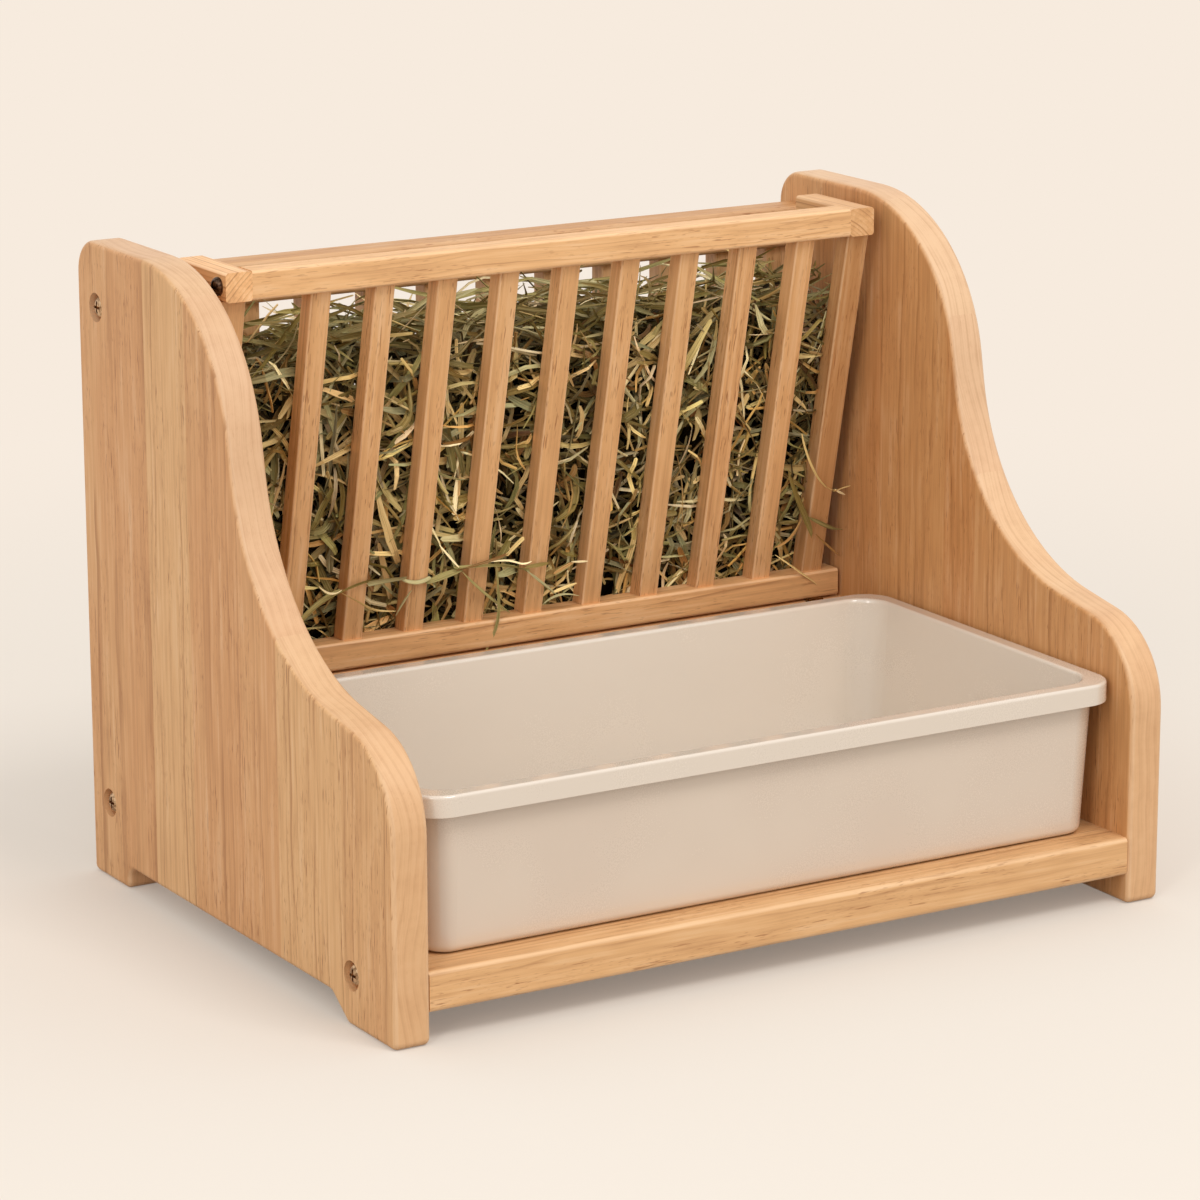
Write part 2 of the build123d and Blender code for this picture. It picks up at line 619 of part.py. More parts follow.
os.makedirs("parts", exist_ok=True)
lean = degrees(atan2(SLAT_FOOT[0] - SLAT_HEAD[0], SLAT_HEAD[1] - SLAT_FOOT[1]))
print(f"rack leans {lean:.1f} degrees; hinge axis at y {HINGE_Y:.2f}, z {HINGE_Z:.2f}")
for node_name, solid in build_nodes().items():
    export_step(solid, f"parts/{node_name}.step")
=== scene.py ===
"""Hay feeder box: pine frame, slatted hay rack, feed tray and hay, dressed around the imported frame.

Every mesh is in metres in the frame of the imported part: X to the right, Y to the back, Z up, with the
origin on the floor under the middle of the box. Patterns in the finishes are written in millimetres.
"""

import logging
import math
from collections.abc import Mapping, Sequence
from dataclasses import dataclass, field
from enum import Enum
from typing import ClassVar

import bpy
import numpy as np
from mathutils import Matrix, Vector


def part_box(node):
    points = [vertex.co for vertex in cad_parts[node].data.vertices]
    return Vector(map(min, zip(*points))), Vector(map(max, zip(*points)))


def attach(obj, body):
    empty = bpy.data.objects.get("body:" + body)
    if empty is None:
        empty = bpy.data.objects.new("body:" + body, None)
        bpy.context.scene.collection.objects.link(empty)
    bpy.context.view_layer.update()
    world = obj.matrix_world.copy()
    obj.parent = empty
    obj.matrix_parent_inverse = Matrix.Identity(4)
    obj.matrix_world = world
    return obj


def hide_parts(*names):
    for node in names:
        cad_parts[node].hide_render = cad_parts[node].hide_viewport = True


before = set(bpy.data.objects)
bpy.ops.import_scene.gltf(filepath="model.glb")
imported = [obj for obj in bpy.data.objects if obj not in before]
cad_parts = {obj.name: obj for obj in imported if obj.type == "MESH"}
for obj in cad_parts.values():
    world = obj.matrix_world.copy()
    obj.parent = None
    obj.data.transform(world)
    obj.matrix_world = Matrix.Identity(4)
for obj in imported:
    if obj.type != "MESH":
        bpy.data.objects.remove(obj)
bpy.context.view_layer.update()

LOG = logging.getLogger("hay_feeder")
MM = 0.001

Colour = tuple[float, float, float]
Point = tuple[float, float, float]

RIGHT: Point = (1.0, 0.0, 0.0)
BACK: Point = (0.0, 1.0, 0.0)
UP: Point = (0.0, 0.0, 1.0)


def linear(red: int, green: int, blue: int) -> Colour:
    """Turn an 8-bit display colour into the linear one that shaders take.

    Args:
        red, green, blue: the colour as it is shown, 0 to 255.

    Returns:
        The three linear values, 0 to 1.
    """
    shown = np.array([red, green, blue]) / 255
    value = np.where(shown <= 0.04045, shown / 12.92, ((shown + 0.055) / 1.055) ** 2.4)
    return tuple(float(c) for c in value)


class Signal:
    """The output of a shader node, with arithmetic that adds Math nodes."""

    def __init__(self, graph: "Graph", socket: bpy.types.NodeSocket) -> None:
        """Keep the socket and the graph that its nodes are added to."""
        self.graph = graph
        self.socket = socket

    def __add__(self, other: "Signal | float") -> "Signal":
        """Sum."""
        return self.graph.maths("ADD", self, other)

    __radd__ = __add__

    def __sub__(self, other: "Signal | float") -> "Signal":
        """Difference."""
        return self.graph.maths("SUBTRACT", self, other)

    def __rsub__(self, other: float) -> "Signal":
        """Difference from a number."""
        return self.graph.maths("SUBTRACT", other, self)

    def __mul__(self, other: "Signal | float") -> "Signal":
        """Product."""
        return self.graph.maths("MULTIPLY", self, other)

    __rmul__ = __mul__

    def __truediv__(self, other: "Signal | float") -> "Signal":
        """Quotient."""
        return self.graph.maths("DIVIDE", self, other)

    def __pow__(self, other: float) -> "Signal":
        """Power."""
        return self.graph.maths("POWER", self, other)

    def __abs__(self) -> "Signal":
        """Absolute value."""
        return self.graph.maths("ABSOLUTE", self)

    def fraction(self) -> "Signal":
        """The part after the decimal point."""
        return self.graph.maths("FRACT", self)

    def floor(self) -> "Signal":
        """The whole number at or below."""
        return self.graph.maths("FLOOR", self)

    def step(self, start: float, end: float) -> "Signal":
        """Rise smoothly from 0 at start to 1 at end.

        Args:
            start, end: the values between which it rises; end may be the lower one.

        Returns:
            The smooth step.
        """
        ranged = {"interpolation_type": "SMOOTHSTEP", "clamp": True}
        rising = start < end
        low, high = (start, end) if rising else (end, start)
        limits = {"From Min": low, "From Max": high, "To Min": float(not rising), "To Max": float(rising)}
        return self.graph.node("ShaderNodeMapRange", ranged, {"Value": self, **limits}, "Result")


Value = Signal | float | Sequence[float]


class Graph:
    """The node graph of one material."""

    def __init__(self, name: str) -> None:
        """Start an empty material with its output node.

        Args:
            name: the material's name.
        """
        self.material = bpy.data.materials.new(name)
        self.material.use_nodes = True
        self.tree = self.material.node_tree
        self.tree.nodes.clear()
        self.output = self.tree.nodes.new("ShaderNodeOutputMaterial")

    def node(self, kind: str, settings: Mapping[str, object], sockets: Mapping[str | int, Value],
             pick: str | int = 0) -> Signal:
        """Add a node.

        Args:
            kind: the node's type.
            settings: its properties; "stops" gives a ramp's (place, colour or level) pairs.
            sockets: the value or link of each input.
            pick: the output wanted.

        Returns:
            That output.
        """
        made = self.tree.nodes.new(kind)
        for key, value in settings.items():
            if key == "stops":
                self._set_stops(made.color_ramp, value)
            elif key == "ramp":
                made.color_ramp.interpolation = value
            else:
                setattr(made, key, value)
        for key, value in sockets.items():
            if isinstance(value, Signal):
                self.tree.links.new(value.socket, made.inputs[key])
            else:
                made.inputs[key].default_value = value
        return Signal(self, made.outputs[pick])

    @staticmethod
    def _set_stops(ramp: bpy.types.ColorRamp, stops: Sequence[tuple[float, object]]) -> None:
        """Write a ramp's stops, in order of place.

        Args:
            ramp: the colour ramp.
            stops: its (place, colour or level) pairs.
        """
        while len(ramp.elements) < len(stops):
            ramp.elements.new(1.0)
        for element, (place, level) in zip(ramp.elements, stops):
            element.position = place
            element.color = (*level, 1.0) if isinstance(level, tuple) else (level, level, level, 1.0)

    def maths(self, operation: str, *values: Signal | float) -> Signal:
        """Add a Math node with that operation on those values."""
        return self.node("ShaderNodeMath", {"operation": operation}, dict(enumerate(values)))

    def ramp(self, place: Signal, stops: Sequence[tuple[float, object]], shape: str = "LINEAR") -> Signal:
        """Look a value up in a ramp of colours or levels."""
        return self.node("ShaderNodeValToRGB", {"ramp": shape, "stops": stops}, {"Fac": place})

    def mix(self, share: Signal | float, first: Value, second: Value, way: str = "MIX") -> Signal:
        """Mix two colours.

        Args:
            share: how much of the second, 0 to 1.
            first, second: the colours.
            way: the blend type.

        Returns:
            The mixed colour.
        """
        pair = [(*c, 1.0) if isinstance(c, tuple) else c for c in (first, second)]
        settings = {"data_type": "RGBA", "blend_type": way, "clamp_factor": True}
        return self.node("ShaderNodeMix", settings, {0: share, 6: pair[0], 7: pair[1]}, 2)

    def position(self) -> Signal:
        """The place on the piece, in millimetres of the part's frame."""
        return self.scaled(self.node("ShaderNodeTexCoord", {}, {}, "Object"), 1 / MM)

    def normal(self) -> Signal:
        """The way the surface faces."""
        return self.node("ShaderNodeTexCoord", {}, {}, "Normal")

    def scaled(self, vector: Signal, factor: float) -> Signal:
        """A vector or a colour times a number."""
        return self.node("ShaderNodeVectorMath", {"operation": "SCALE"}, {0: vector, "Scale": factor})

    def away_from(self, place: Signal, point: Point) -> Signal:
        """The vector from a point to a place."""
        return self.node("ShaderNodeVectorMath", {"operation": "SUBTRACT"}, {0: place, 1: point})

    def length(self, vector: Signal) -> Signal:
        """How long a vector is."""
        return self.node("ShaderNodeVectorMath", {"operation": "LENGTH"}, {0: vector}, "Value")

    def dot(self, vector: Signal, direction: Point | Signal) -> Signal:
        """The share of a vector along a direction."""
        pair = {0: vector, 1: direction}
        return self.node("ShaderNodeVectorMath", {"operation": "DOT_PRODUCT"}, pair, "Value")

    def join(self, x: Signal | float, y: Signal | float, z: Signal | float) -> Signal:
        """Make a vector of three values."""
        return self.node("ShaderNodeCombineXYZ", {}, {0: x, 1: y, 2: z})

    def noise(self, place: Signal, scale: float = 1.0, detail: float = 2.0,
              roughness: float = 0.5) -> Signal:
        """Smooth noise of mean one half on a vector."""
        values = {"Vector": place, "Scale": scale, "Detail": detail, "Roughness": roughness}
        return self.node("ShaderNodeTexNoise", {}, values, "Fac")

    def bump(self, height: Signal, depth: float, strength: float = 1.0) -> Signal:
        """Turn a height of 0 to 1 into a normal, with that depth in millimetres."""
        values = {"Height": height, "Distance": depth * MM, "Strength": strength}
        return self.node("ShaderNodeBump", {}, values)

    def surface(self, sockets: Mapping[str, Value]) -> bpy.types.Material:
        """Close the graph with a Principled shader.

        Args:
            sockets: the value or link of each of its inputs.

        Returns:
            The material.
        """
        shader = self.node("ShaderNodeBsdfPrincipled", {}, sockets)
        self.tree.links.new(shader.socket, self.output.inputs["Surface"])
        return self.material


class Side(Enum):
    """The two sides of the box, as they stand in the names of pieces."""

    LEFT = "left"
    RIGHT = "right"


# ---------------------------------------------------------------------------------------------------
# Finishes


@dataclass(frozen=True)
class Knot:
    """A small dark knot in a board."""

    place: Point         # mm
    radius: float        # mm


@dataclass(frozen=True)
class Cut:
    """A point's place in its own board, in millimetres, and what sets the board apart from others."""

    place: Signal
    along: Signal              # along the grain
    across: Signal             # over the width
    through: Signal            # through the thickness
    stave: Signal | float      # a number from 0 to 1 for each stave of a glued board
    shift: Signal | float      # moves the noise, so that no two boards or staves are alike

    def noise(self, length: float, width: float, detail: float, roughness: float = 0.5,
              slip: float = 0.0) -> Signal:
        """Noise that is drawn out along the grain.

        Args:
            length: how long its features are along the grain, mm.
            width: how wide they are across it, mm.
            detail, roughness: the settings of the noise.
            slip: how far the pattern is moved along the grain, in lengths.

        Returns:
            The noise, of mean one half.
        """
        g = self.place.graph
        start = self.along / length
        if slip:
            start = start + slip
        return g.noise(g.join(start, self.across / width + self.shift, self.through / width),
                       detail=detail, roughness=roughness)

    def broad_noise(self, length: float, width: float, detail: float) -> Signal:
        """As noise, for slow changes: here boards are set apart along the grain.

        Args:
            length: how long its features are along the grain, mm.
            width: how wide they are across it, mm.
            detail: the setting of the noise.

        Returns:
            The noise, of mean one half.
        """
        g = self.place.graph
        start = self.along / length + self.shift
        return g.noise(g.join(start, self.across / width, self.through / width), detail=detail)


@dataclass(frozen=True)
class PineFinish:
    """Sanded, uncoated pine, cut in three dimensions from rings around a pith.

    Rings are cylinders around a line along the grain; each ring grows darker outwards and ends sharply.
    Shares are of 1: a share of 0 leaves the board as it was.
    """

    STRAW: ClassVar[Colour] = linear(221, 177, 125)
    TAN: ClassVar[Colour] = linear(213, 161, 110)
    PINK: ClassVar[Colour] = linear(205, 147, 97)
    # deep orange of aged wood, also used as painted shade
    AGED_AND_SHADE: ClassVar[Colour] = linear(198, 138, 80)
    PALE: ClassVar[Colour] = linear(238, 206, 168)
    LATE: ClassVar[Colour] = linear(162, 108, 64)
    FLECK: ClassVar[Colour] = linear(152, 94, 50)

    SEED_SHIFT: ClassVar[float] = 37.0         # how far one seed moves the noise
    STAVE_SHIFT: ClassVar[float] = 411.0       # how far the next stave's noise lies
    STAVE_PITH: ClassVar[float] = 190.0        # how far staves' piths are spread, mm
    STAVE_MARGIN: ClassVar[float] = 60.0       # from the outer seams to the ends of the ramp, mm
    FIRST_STAVE: ClassVar[float] = 0.45
    STAVE_TONES: ClassVar[tuple[float, ...]] = (0.25, 0.9, 0.05, 0.8, 0.35, 0.95, 0.5)
    STAVE_BLUSH: ClassVar[float] = 1.35        # how far staves differ in tone
    CLOUD_BLUSH: ClassVar[float] = 1.7         # how far tone drifts within a stave
    LATE_WEIGHT: ClassVar[float] = 1.5
    FIBRE_WEIGHT: ClassVar[float] = 0.4
    STREAK_WEIGHT: ClassVar[float] = 1.15
    MOTTLE_WEIGHT: ClassVar[float] = 0.85
    TAN_SHARE: ClassVar[float] = 0.45
    WORN_AND_HIGHLIGHT_SHARE: ClassVar[float] = 0.3          # how pale the sanded edges are: wear, with a painted highlight
    LATE_LIMIT: ClassVar[float] = 0.62         # the most that late wood hides of the ground
    RIM_SHEEN_HEIGHTS: ClassVar[tuple[float, float]] = (50.0, 230.0)   # painted sheen: the rim grows paler between these, mm
    RIM_BEND: ClassVar[float] = 16.0           # how far the rim's own lines bend, mm
    RIM_LINE: ClassVar[float] = 4.1            # how far apart they are, mm
    CLEAN_RIM: ClassVar[float] = 0.85          # share of the flecks that the rim lacks

    name: str
    along: Point
    across: Point
    pith: tuple[float, float] = (30.0, 55.0)   # across and through the piece, mm
    ring: float = 2.6                          # ring spacing, mm
    wander: float = 3.0                        # how far rings drift along the piece, mm
    contrast: float = 0.55                     # strength of the late wood
    flecks: float = 0.5
    tone: float = 0.5                          # 0 straw, 1 pink-brown
    depth: float = 0.0                         # 0 light, 1 deep orange: aged wood, and painted shade on pieces that sit in shade
    lift: float = 1.0                          # brightness of the cut against the rest; on a few pieces it is painted light and shade
    seed: float = 0.0
    staves: tuple[float, ...] = ()             # seams of an edge-glued board, along its width, mm
    rim_along: bool = False                    # the narrow faces show grain that follows the edge
    rim: Colour = linear(214, 177, 141)        # the narrow faces' own tone, mixed in more strongly high up as a painted sheen
    knots: tuple[Knot, ...] = ()

    def through(self) -> Point:
        """The direction square to the grain and the width."""
        return tuple(float(c) for c in np.cross(self.along, self.across))

    def make(self) -> bpy.types.Material:
        """Build the material.

        Returns:
            The material, with colour, roughness and bump from the same grain.
        """
        g = Graph(self.name)
        cut = self._cut(g)
        rim = self._rim_share(g)
        fibre = cut.noise(length=24.0, width=0.45, detail=3.0, roughness=0.65)
        late = self._late_wood(g, cut)
        line = self._figure(cut, late, fibre)
        fleck = self._fleck_share(cut)
        if self.rim_along:
            line = self._follow_rim(g, cut, line, rim)
            fleck = fleck * (1.0 - rim * self.CLEAN_RIM)
        ground = self._ground(g, cut, line, rim)
        ringed = g.mix(g.maths("MINIMUM", line * 0.95, self.LATE_LIMIT), ground, self.LATE)
        colour = g.mix(fleck * self.flecks, ringed, self.FLECK)
        for knot in self.knots:
            colour = self._with_knot(g, cut, colour, knot)
        relief = fibre * 0.6 + line * 0.5 - fleck * 0.8
        return g.surface({
            "Base Color": colour,
            "Roughness": 0.5 + (fibre - 0.5) * 0.22 + late * 0.06,
            "Specular IOR Level": 0.42,
            "Normal": g.bump(relief, 0.09, 0.55),
        })

    def _cut(self, g: Graph) -> Cut:
        """Take the piece's own coordinates, and set its noise apart by its seed and its staves.

        Args:
            g: the material's graph.

        Returns:
            The place, as every part of the pattern reads it.
        """
        place = g.position()
        along, across, through = (g.dot(place, way) for way in (self.along, self.across, self.through()))
        stave = self._stave(g, across)
        shift = self.seed * self.SEED_SHIFT + stave * self.STAVE_SHIFT
        return Cut(place, along, across, through, stave, shift)

    def _stave(self, g: Graph, across: Signal) -> Signal | float:
        """Tell the staves of a glued board apart, by a ramp that steps at each seam.

        Args:
            g: the material's graph.
            across: the place over the width, mm.

        Returns:
            A number from 0 to 1 for each stave, and 0 all over a single piece.
        """
        if not self.staves:
            return 0.0
        low, high = min(self.staves) - self.STAVE_MARGIN, max(self.staves) + self.STAVE_MARGIN
        stops = [(0.0, self.FIRST_STAVE)]
        for number, seam in enumerate(sorted(self.staves)):
            stops.append(((seam - low) / (high - low), self.STAVE_TONES[number % len(self.STAVE_TONES)]))
        return g.ramp((across - low) / (high - low), stops, "CONSTANT")

    def _late_wood(self, g: Graph, cut: Cut) -> Signal:
        """The dark outer part of each ring: a power of the way through it, cut off sharply at its end.

        The ring number is the distance to the pith over the ring spacing, with noise. Years differ in
        strength, and each one fades in and out along the grain.

        Args:
            g: the material's graph.
            cut: the place in the board.

        Returns:
            How dark the late wood is, 0 where a ring starts.
        """
        drift = cut.broad_noise(length=85.0, width=40.0, detail=1.0) - 0.5
        ripple = cut.noise(length=22.0, width=9.0, detail=1.0) - 0.5
        centred = cut.across + cut.stave * self.STAVE_PITH - self.pith[0]
        side = centred + drift * (self.wander * 2) + ripple * (self.wander * 0.35)
        radius = g.maths("SQRT", side * side + (cut.through - self.pith[1]) ** 2.0)
        uneven = g.noise(g.join(radius / 12.0, cut.shift, 0.0), detail=1.0) - 0.5
        turn = radius / self.ring + uneven * 3.2
        grown = turn.fraction()
        year = g.noise(g.join(turn.floor() * 0.73, cut.shift, 4.0), detail=0.0)
        faint = g.noise(g.join(cut.along / 70.0, turn.floor() * 0.9, cut.shift), detail=1.0)
        strength = year.step(0.42, 0.76) * faint.step(0.34, 0.62) + 0.08
        return grown ** 4.0 * grown.step(1.0, 0.9) * strength

    def _figure(self, cut: Cut, late: Signal, fibre: Signal) -> Signal:
        """Add up what darkens the grain: late wood, fibres, streaks and mottling.

        Args:
            cut: the place in the board.
            late: how dark the late wood is.
            fibre: the fine fibres, of mean one half.

        Returns:
            How dark the grain is, below 0 where it is paler than the ground.
        """
        streak = cut.noise(length=110.0, width=2.2, detail=3.0, roughness=0.6) - 0.5
        mottle = cut.noise(length=34.0, width=7.0, detail=2.0) - 0.5
        rings = late * self.contrast * self.LATE_WEIGHT
        fine = (fibre - 0.5) * self.FIBRE_WEIGHT
        return rings + fine + streak * self.STREAK_WEIGHT + mottle * self.MOTTLE_WEIGHT

    def _ground(self, g: Graph, cut: Cut, line: Signal, rim: Signal) -> Signal:
        """The colour under the lines: straw to pink by stave and cloud, then aged with painted shade on
        some pieces, worn with a painted highlight on the edges, lightened, and on the narrow faces a
        painted sheen high up.

        Args:
            g: the material's graph.
            cut: the place in the board.
            line: how dark the grain is.
            rim: 1 on the narrow faces and 0 on the broad ones.

        Returns:
            The colour.
        """
        cloud = cut.broad_noise(length=150.0, width=24.0, detail=2.0)
        blush = (cloud - 0.5) * self.CLOUD_BLUSH + (cut.stave - 0.5) * self.STAVE_BLUSH + self.tone
        warm = g.mix(self.TAN_SHARE, g.mix(blush, self.STRAW, self.PINK), self.TAN)
        # painted shade on some pieces: their depth takes the wood towards the deep orange
        age_and_shade = self.depth * (1.0 - rim) if self.rim_along else self.depth
        # the sanded edges are paler: real wear, with a painted highlight
        worn_and_highlit = g.mix(self._arris(g) * self.WORN_AND_HIGHLIGHT_SHARE, g.mix(age_and_shade, warm, self.AGED_AND_SHADE), self.PALE)
        ground = g.scaled(g.mix(line * -0.9, worn_and_highlit, self.PALE), self.lift)
        if not self.rim_along:
            return ground
        # painted sheen: the rim's tone is mixed in more strongly towards the top
        high = g.dot(cut.place, UP).step(*self.RIM_SHEEN_HEIGHTS)
        return g.mix(rim * (0.3 + high * 0.45), ground, self.rim)

    def _rim_share(self, g: Graph) -> Signal:
        """1 on the narrow faces of a board and 0 on its two broad ones."""
        return abs(g.dot(g.normal(), self.through())).step(0.9, 0.5)

    def _arris(self, g: Graph) -> Signal:
        """1 where the surface turns from one face to the next, on the sanded edges, which are worn paler
        and carry a painted highlight.
        """
        broad, narrow = (abs(g.dot(g.normal(), way)) for way in (self.through(), self.across))
        return (broad * narrow).step(0.12, 0.42)

    def _follow_rim(self, g: Graph, cut: Cut, line: Signal, rim: Signal) -> Signal:
        """On the narrow faces, swap the rings for lines that keep their distance from the edges.

        Args:
            g: the material's graph.
            cut: the place in the board.
            line: how dark the grain is by the rings.
            rim: 1 on the narrow faces and 0 on the broad ones.

        Returns:
            How dark the grain is on all the faces.
        """
        bend = g.noise(cut.place, scale=1 / 70.0, detail=1.0) - 0.5
        across = cut.through + bend * self.RIM_BEND
        grown = (across / self.RIM_LINE + g.noise(cut.place, scale=1 / 140.0, detail=0.0) * 3.0).fraction()
        streak = g.noise(g.join(across / 0.8, cut.shift, 0.0), detail=2.0)
        mottle = g.noise(cut.place, scale=1 / 9.0, detail=3.0, roughness=0.6)
        own = grown ** 3.0 * grown.step(1.0, 0.84) * 0.3 + (streak - 0.5) * 0.8 + (mottle - 0.5) * 0.55
        return line * (1.0 - rim) + own * rim

    def _fleck_share(self, cut: Cut) -> Signal:
        """Short dark dashes along the grain, thinned out by a broad mask.

        Args:
            cut: the place in the board.

        Returns:
            How dark the dashes are, 0 between them.
        """
        dash = cut.noise(length=13.0, width=0.85, detail=1.0).step(0.63, 0.75)
        fine = cut.noise(length=4.6, width=0.5, detail=0.0, slip=9.0).step(0.68, 0.8)
        where = cut.noise(length=60.0, width=14.0, detail=1.0, slip=5.0).step(0.34, 0.56)
        return (dash * 0.85 + fine * 0.65) * where

    def _with_knot(self, g: Graph, cut: Cut, colour: Signal, knot: Knot) -> Signal:
        """Add a knot: a ball around its place with an uneven skin.

        Args:
            g: the material's graph.
            cut: the place in the board.
            colour: the colour so far.
            knot: the knot.

        Returns:
            The colour with the knot in it.
        """
        away = g.length(g.away_from(cut.place, knot.place))
        rough = away + (g.noise(cut.place, scale=0.7, detail=2.0) - 0.5) * knot.radius * 0.9
        return g.mix(rough.step(knot.radius, knot.radius * 0.55) * 0.75, colour, self.FLECK)


@dataclass(frozen=True)
class TrayFinish:
    """Satin injection-moulded plastic with the faintest mottle; the paler rim and the paler inside are
    painted light.
    """

    name: str = "tray_plastic"
    body: Colour = linear(217, 200, 182)
    shade: Colour = linear(213, 195, 177)
    # painted light: the inside is paler, standing in for the light that fills the tray
    inside: Colour = linear(224, 212, 197)
    # painted light: the top band of the rim is paler, for the light it catches facing up
    painted_light_lip: Colour = linear(220, 206, 190)
    lip_height: float = 9.5                      # from the top, mm
    facing: tuple[float, float] = (2.0, -14.0)   # how far a face looks away from the middle, out and in, mm
    mottle_size: float = 70.0                    # mm
    grain_size: float = 0.55                     # mm

    def make(self) -> bpy.types.Material:
        """Build the material: a soft two-tone mottle under a satin skin with a fine texture.

        Returns:
            The material.
        """
        g = Graph(self.name)
        place = g.position()
        cloud = g.noise(place, scale=1 / self.mottle_size, detail=2.0)
        grain = g.noise(place, scale=1 / self.grain_size, detail=2.0)
        low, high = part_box("tray")
        middle = tuple((low + high) / (2 * MM))
        outwards = g.dot(g.away_from(place, middle), g.normal())
        edge = high[2] / MM - self.lip_height
        mottle = g.mix(cloud.step(0.3, 0.7), self.body, self.shade)
        # painted light: the paler band at the top of the rim
        outside = g.mix(g.dot(place, UP).step(edge - 0.5, edge + 0.5), mottle, self.painted_light_lip)
        return g.surface({
            # painted light: faces that look in towards the middle get the paler inside
            "Base Color": g.mix(outwards.step(*self.facing), outside, self.inside),
            "Roughness": 0.27 + (cloud - 0.5) * 0.08 + (grain - 0.5) * 0.04,
            "Specular IOR Level": 0.7,
            "Coat Weight": 1.0,
            "Coat Roughness": 0.1,
            "Normal": g.bump(grain, 0.015, 0.3),
        })


@dataclass(frozen=True)
class MetalFinish:
    """A turned or plated metal with fine brushing and darker spots."""

    SCRATCH_OVER: ClassVar[Point] = (0.0, 1.0, 0.3)
    SCRATCH_ALONG: ClassVar[Point] = (0.0, -0.3, 1.0)
    SCRATCH_WIDTH: ClassVar[float] = 0.15     # mm
    SCRATCH_LENGTH: ClassVar[float] = 2.0     # mm

    name: str
    light: Colour
    dark: Colour
    roughness: float = 0.32
    metallic: float = 1.0
    speckle: float = 1.6     # mm

    def make(self) -> bpy.types.Material:
        """Build the material: two tones mixed by a fine noise, with scratches in the bump.

        Returns:
            The material.
        """
        g = Graph(self.name)
        place = g.position()
        spots = g.noise(place, scale=1 / self.speckle, detail=3.0, roughness=0.6)
        over, along = (g.dot(place, way) for way in (self.SCRATCH_OVER, self.SCRATCH_ALONG))
        scratch = g.noise(g.join(over / self.SCRATCH_WIDTH, along / self.SCRATCH_LENGTH, 0.0), detail=2.0)
        return g.surface({
            "Base Color": g.mix(spots.step(0.35, 0.68), self.light, self.dark),
            "Metallic": self.metallic,
            "Roughness": self.roughness + (spots - 0.5) * 0.2,
            "Normal": g.bump(scratch, 0.02, 0.4),
        })


@dataclass(frozen=True)
class HayFinish:
    """Dried grass: each strand has its own colour, darkened with depth as painted shade, with veins along
    it and a dull face.
    """

    VEINS: ClassVar[float] = 1.5              # to a millimetre of width
    VEIN_LENGTH: ClassVar[float] = 26.0       # mm
    BLOTCHES: ClassVar[float] = 0.4           # to a millimetre of width
    BLOTCH_LENGTH: ClassVar[float] = 5.0      # mm

    name: str = "hay"
    vein: Colour = (0.34, 0.29, 0.2)       # multiplies the strand's colour
    ridge: Colour = linear(232, 208, 152)
    dry: Colour = linear(190, 154, 92)

    def make(self) -> bpy.types.Material:
        """Build the material from the strand's colour and its own width and length coordinates.

        Returns:
            The material.
        """
        g = Graph(self.name)
        colour = g.node("ShaderNodeAttribute", {"attribute_name": Hay.COLOUR}, {}, "Color")
        route = g.node("ShaderNodeAttribute", {"attribute_name": Hay.ROUTE}, {}, "Vector")
        across, length = (g.dot(route, axis) for axis in ((1.0, 0.0, 0.0), (0.0, 1.0, 0.0)))
        veins = g.noise(g.join(across * self.VEINS, length / self.VEIN_LENGTH, 0.0), detail=2.0)
        blotch = g.noise(g.join(across * self.BLOTCHES, length / self.BLOTCH_LENGTH, 2.0), detail=3.0)
        veined = g.mix(veins.step(0.5, 0.68) * 0.75, colour, self.vein, "MULTIPLY")
        ridged = g.mix(veins.step(0.46, 0.3) * 0.3, veined, self.ridge)
        return g.surface({
            "Base Color": g.mix(blotch.step(0.5, 0.8) * 0.25, ridged, self.dry),
            "Roughness": 0.6 + (blotch - 0.5) * 0.3,
            "Specular IOR Level": 0.22,
            "Normal": g.bump(veins, 0.12, 0.5),
        })


@dataclass(frozen=True)
class ShadeCoreFinish:
    """Painted shade for the inside of the hay: a near-black skin seen only through the gaps between
    strands.
    """

    STRAW_LENGTH: ClassVar[float] = 9.0    # mm
    STRAW_WIDTH: ClassVar[float] = 1.2     # mm
    STRAW_DEPTH: ClassVar[float] = 2.0     # mm

    name: str = "hay_shade_core"
    dark: Colour = linear(30, 20, 8)
    straw: Colour = linear(74, 58, 28)

    def make(self) -> bpy.types.Material:
        """Build the material: near-black brown with a broken straw pattern that runs aslant.

        Returns:
            The material.
        """
        g = Graph(self.name)
        place = g.position()
        aslant = g.join(g.dot(place, (0.7, 0.2, 0.7)) / self.STRAW_LENGTH,
                        g.dot(place, (-0.7, 0.2, 0.7)) / self.STRAW_WIDTH,
                        g.dot(place, BACK) / self.STRAW_DEPTH)
        straws = g.noise(aslant, detail=3.0)
        return g.surface({
            "Base Color": g.mix(straws.step(0.5, 0.8), self.dark, self.straw),
            "Roughness": 0.9 + (straws - 0.5) * 0.1,
            "Specular IOR Level": 0.1,
            "Normal": g.bump(straws, 1.0, 0.8),
        })


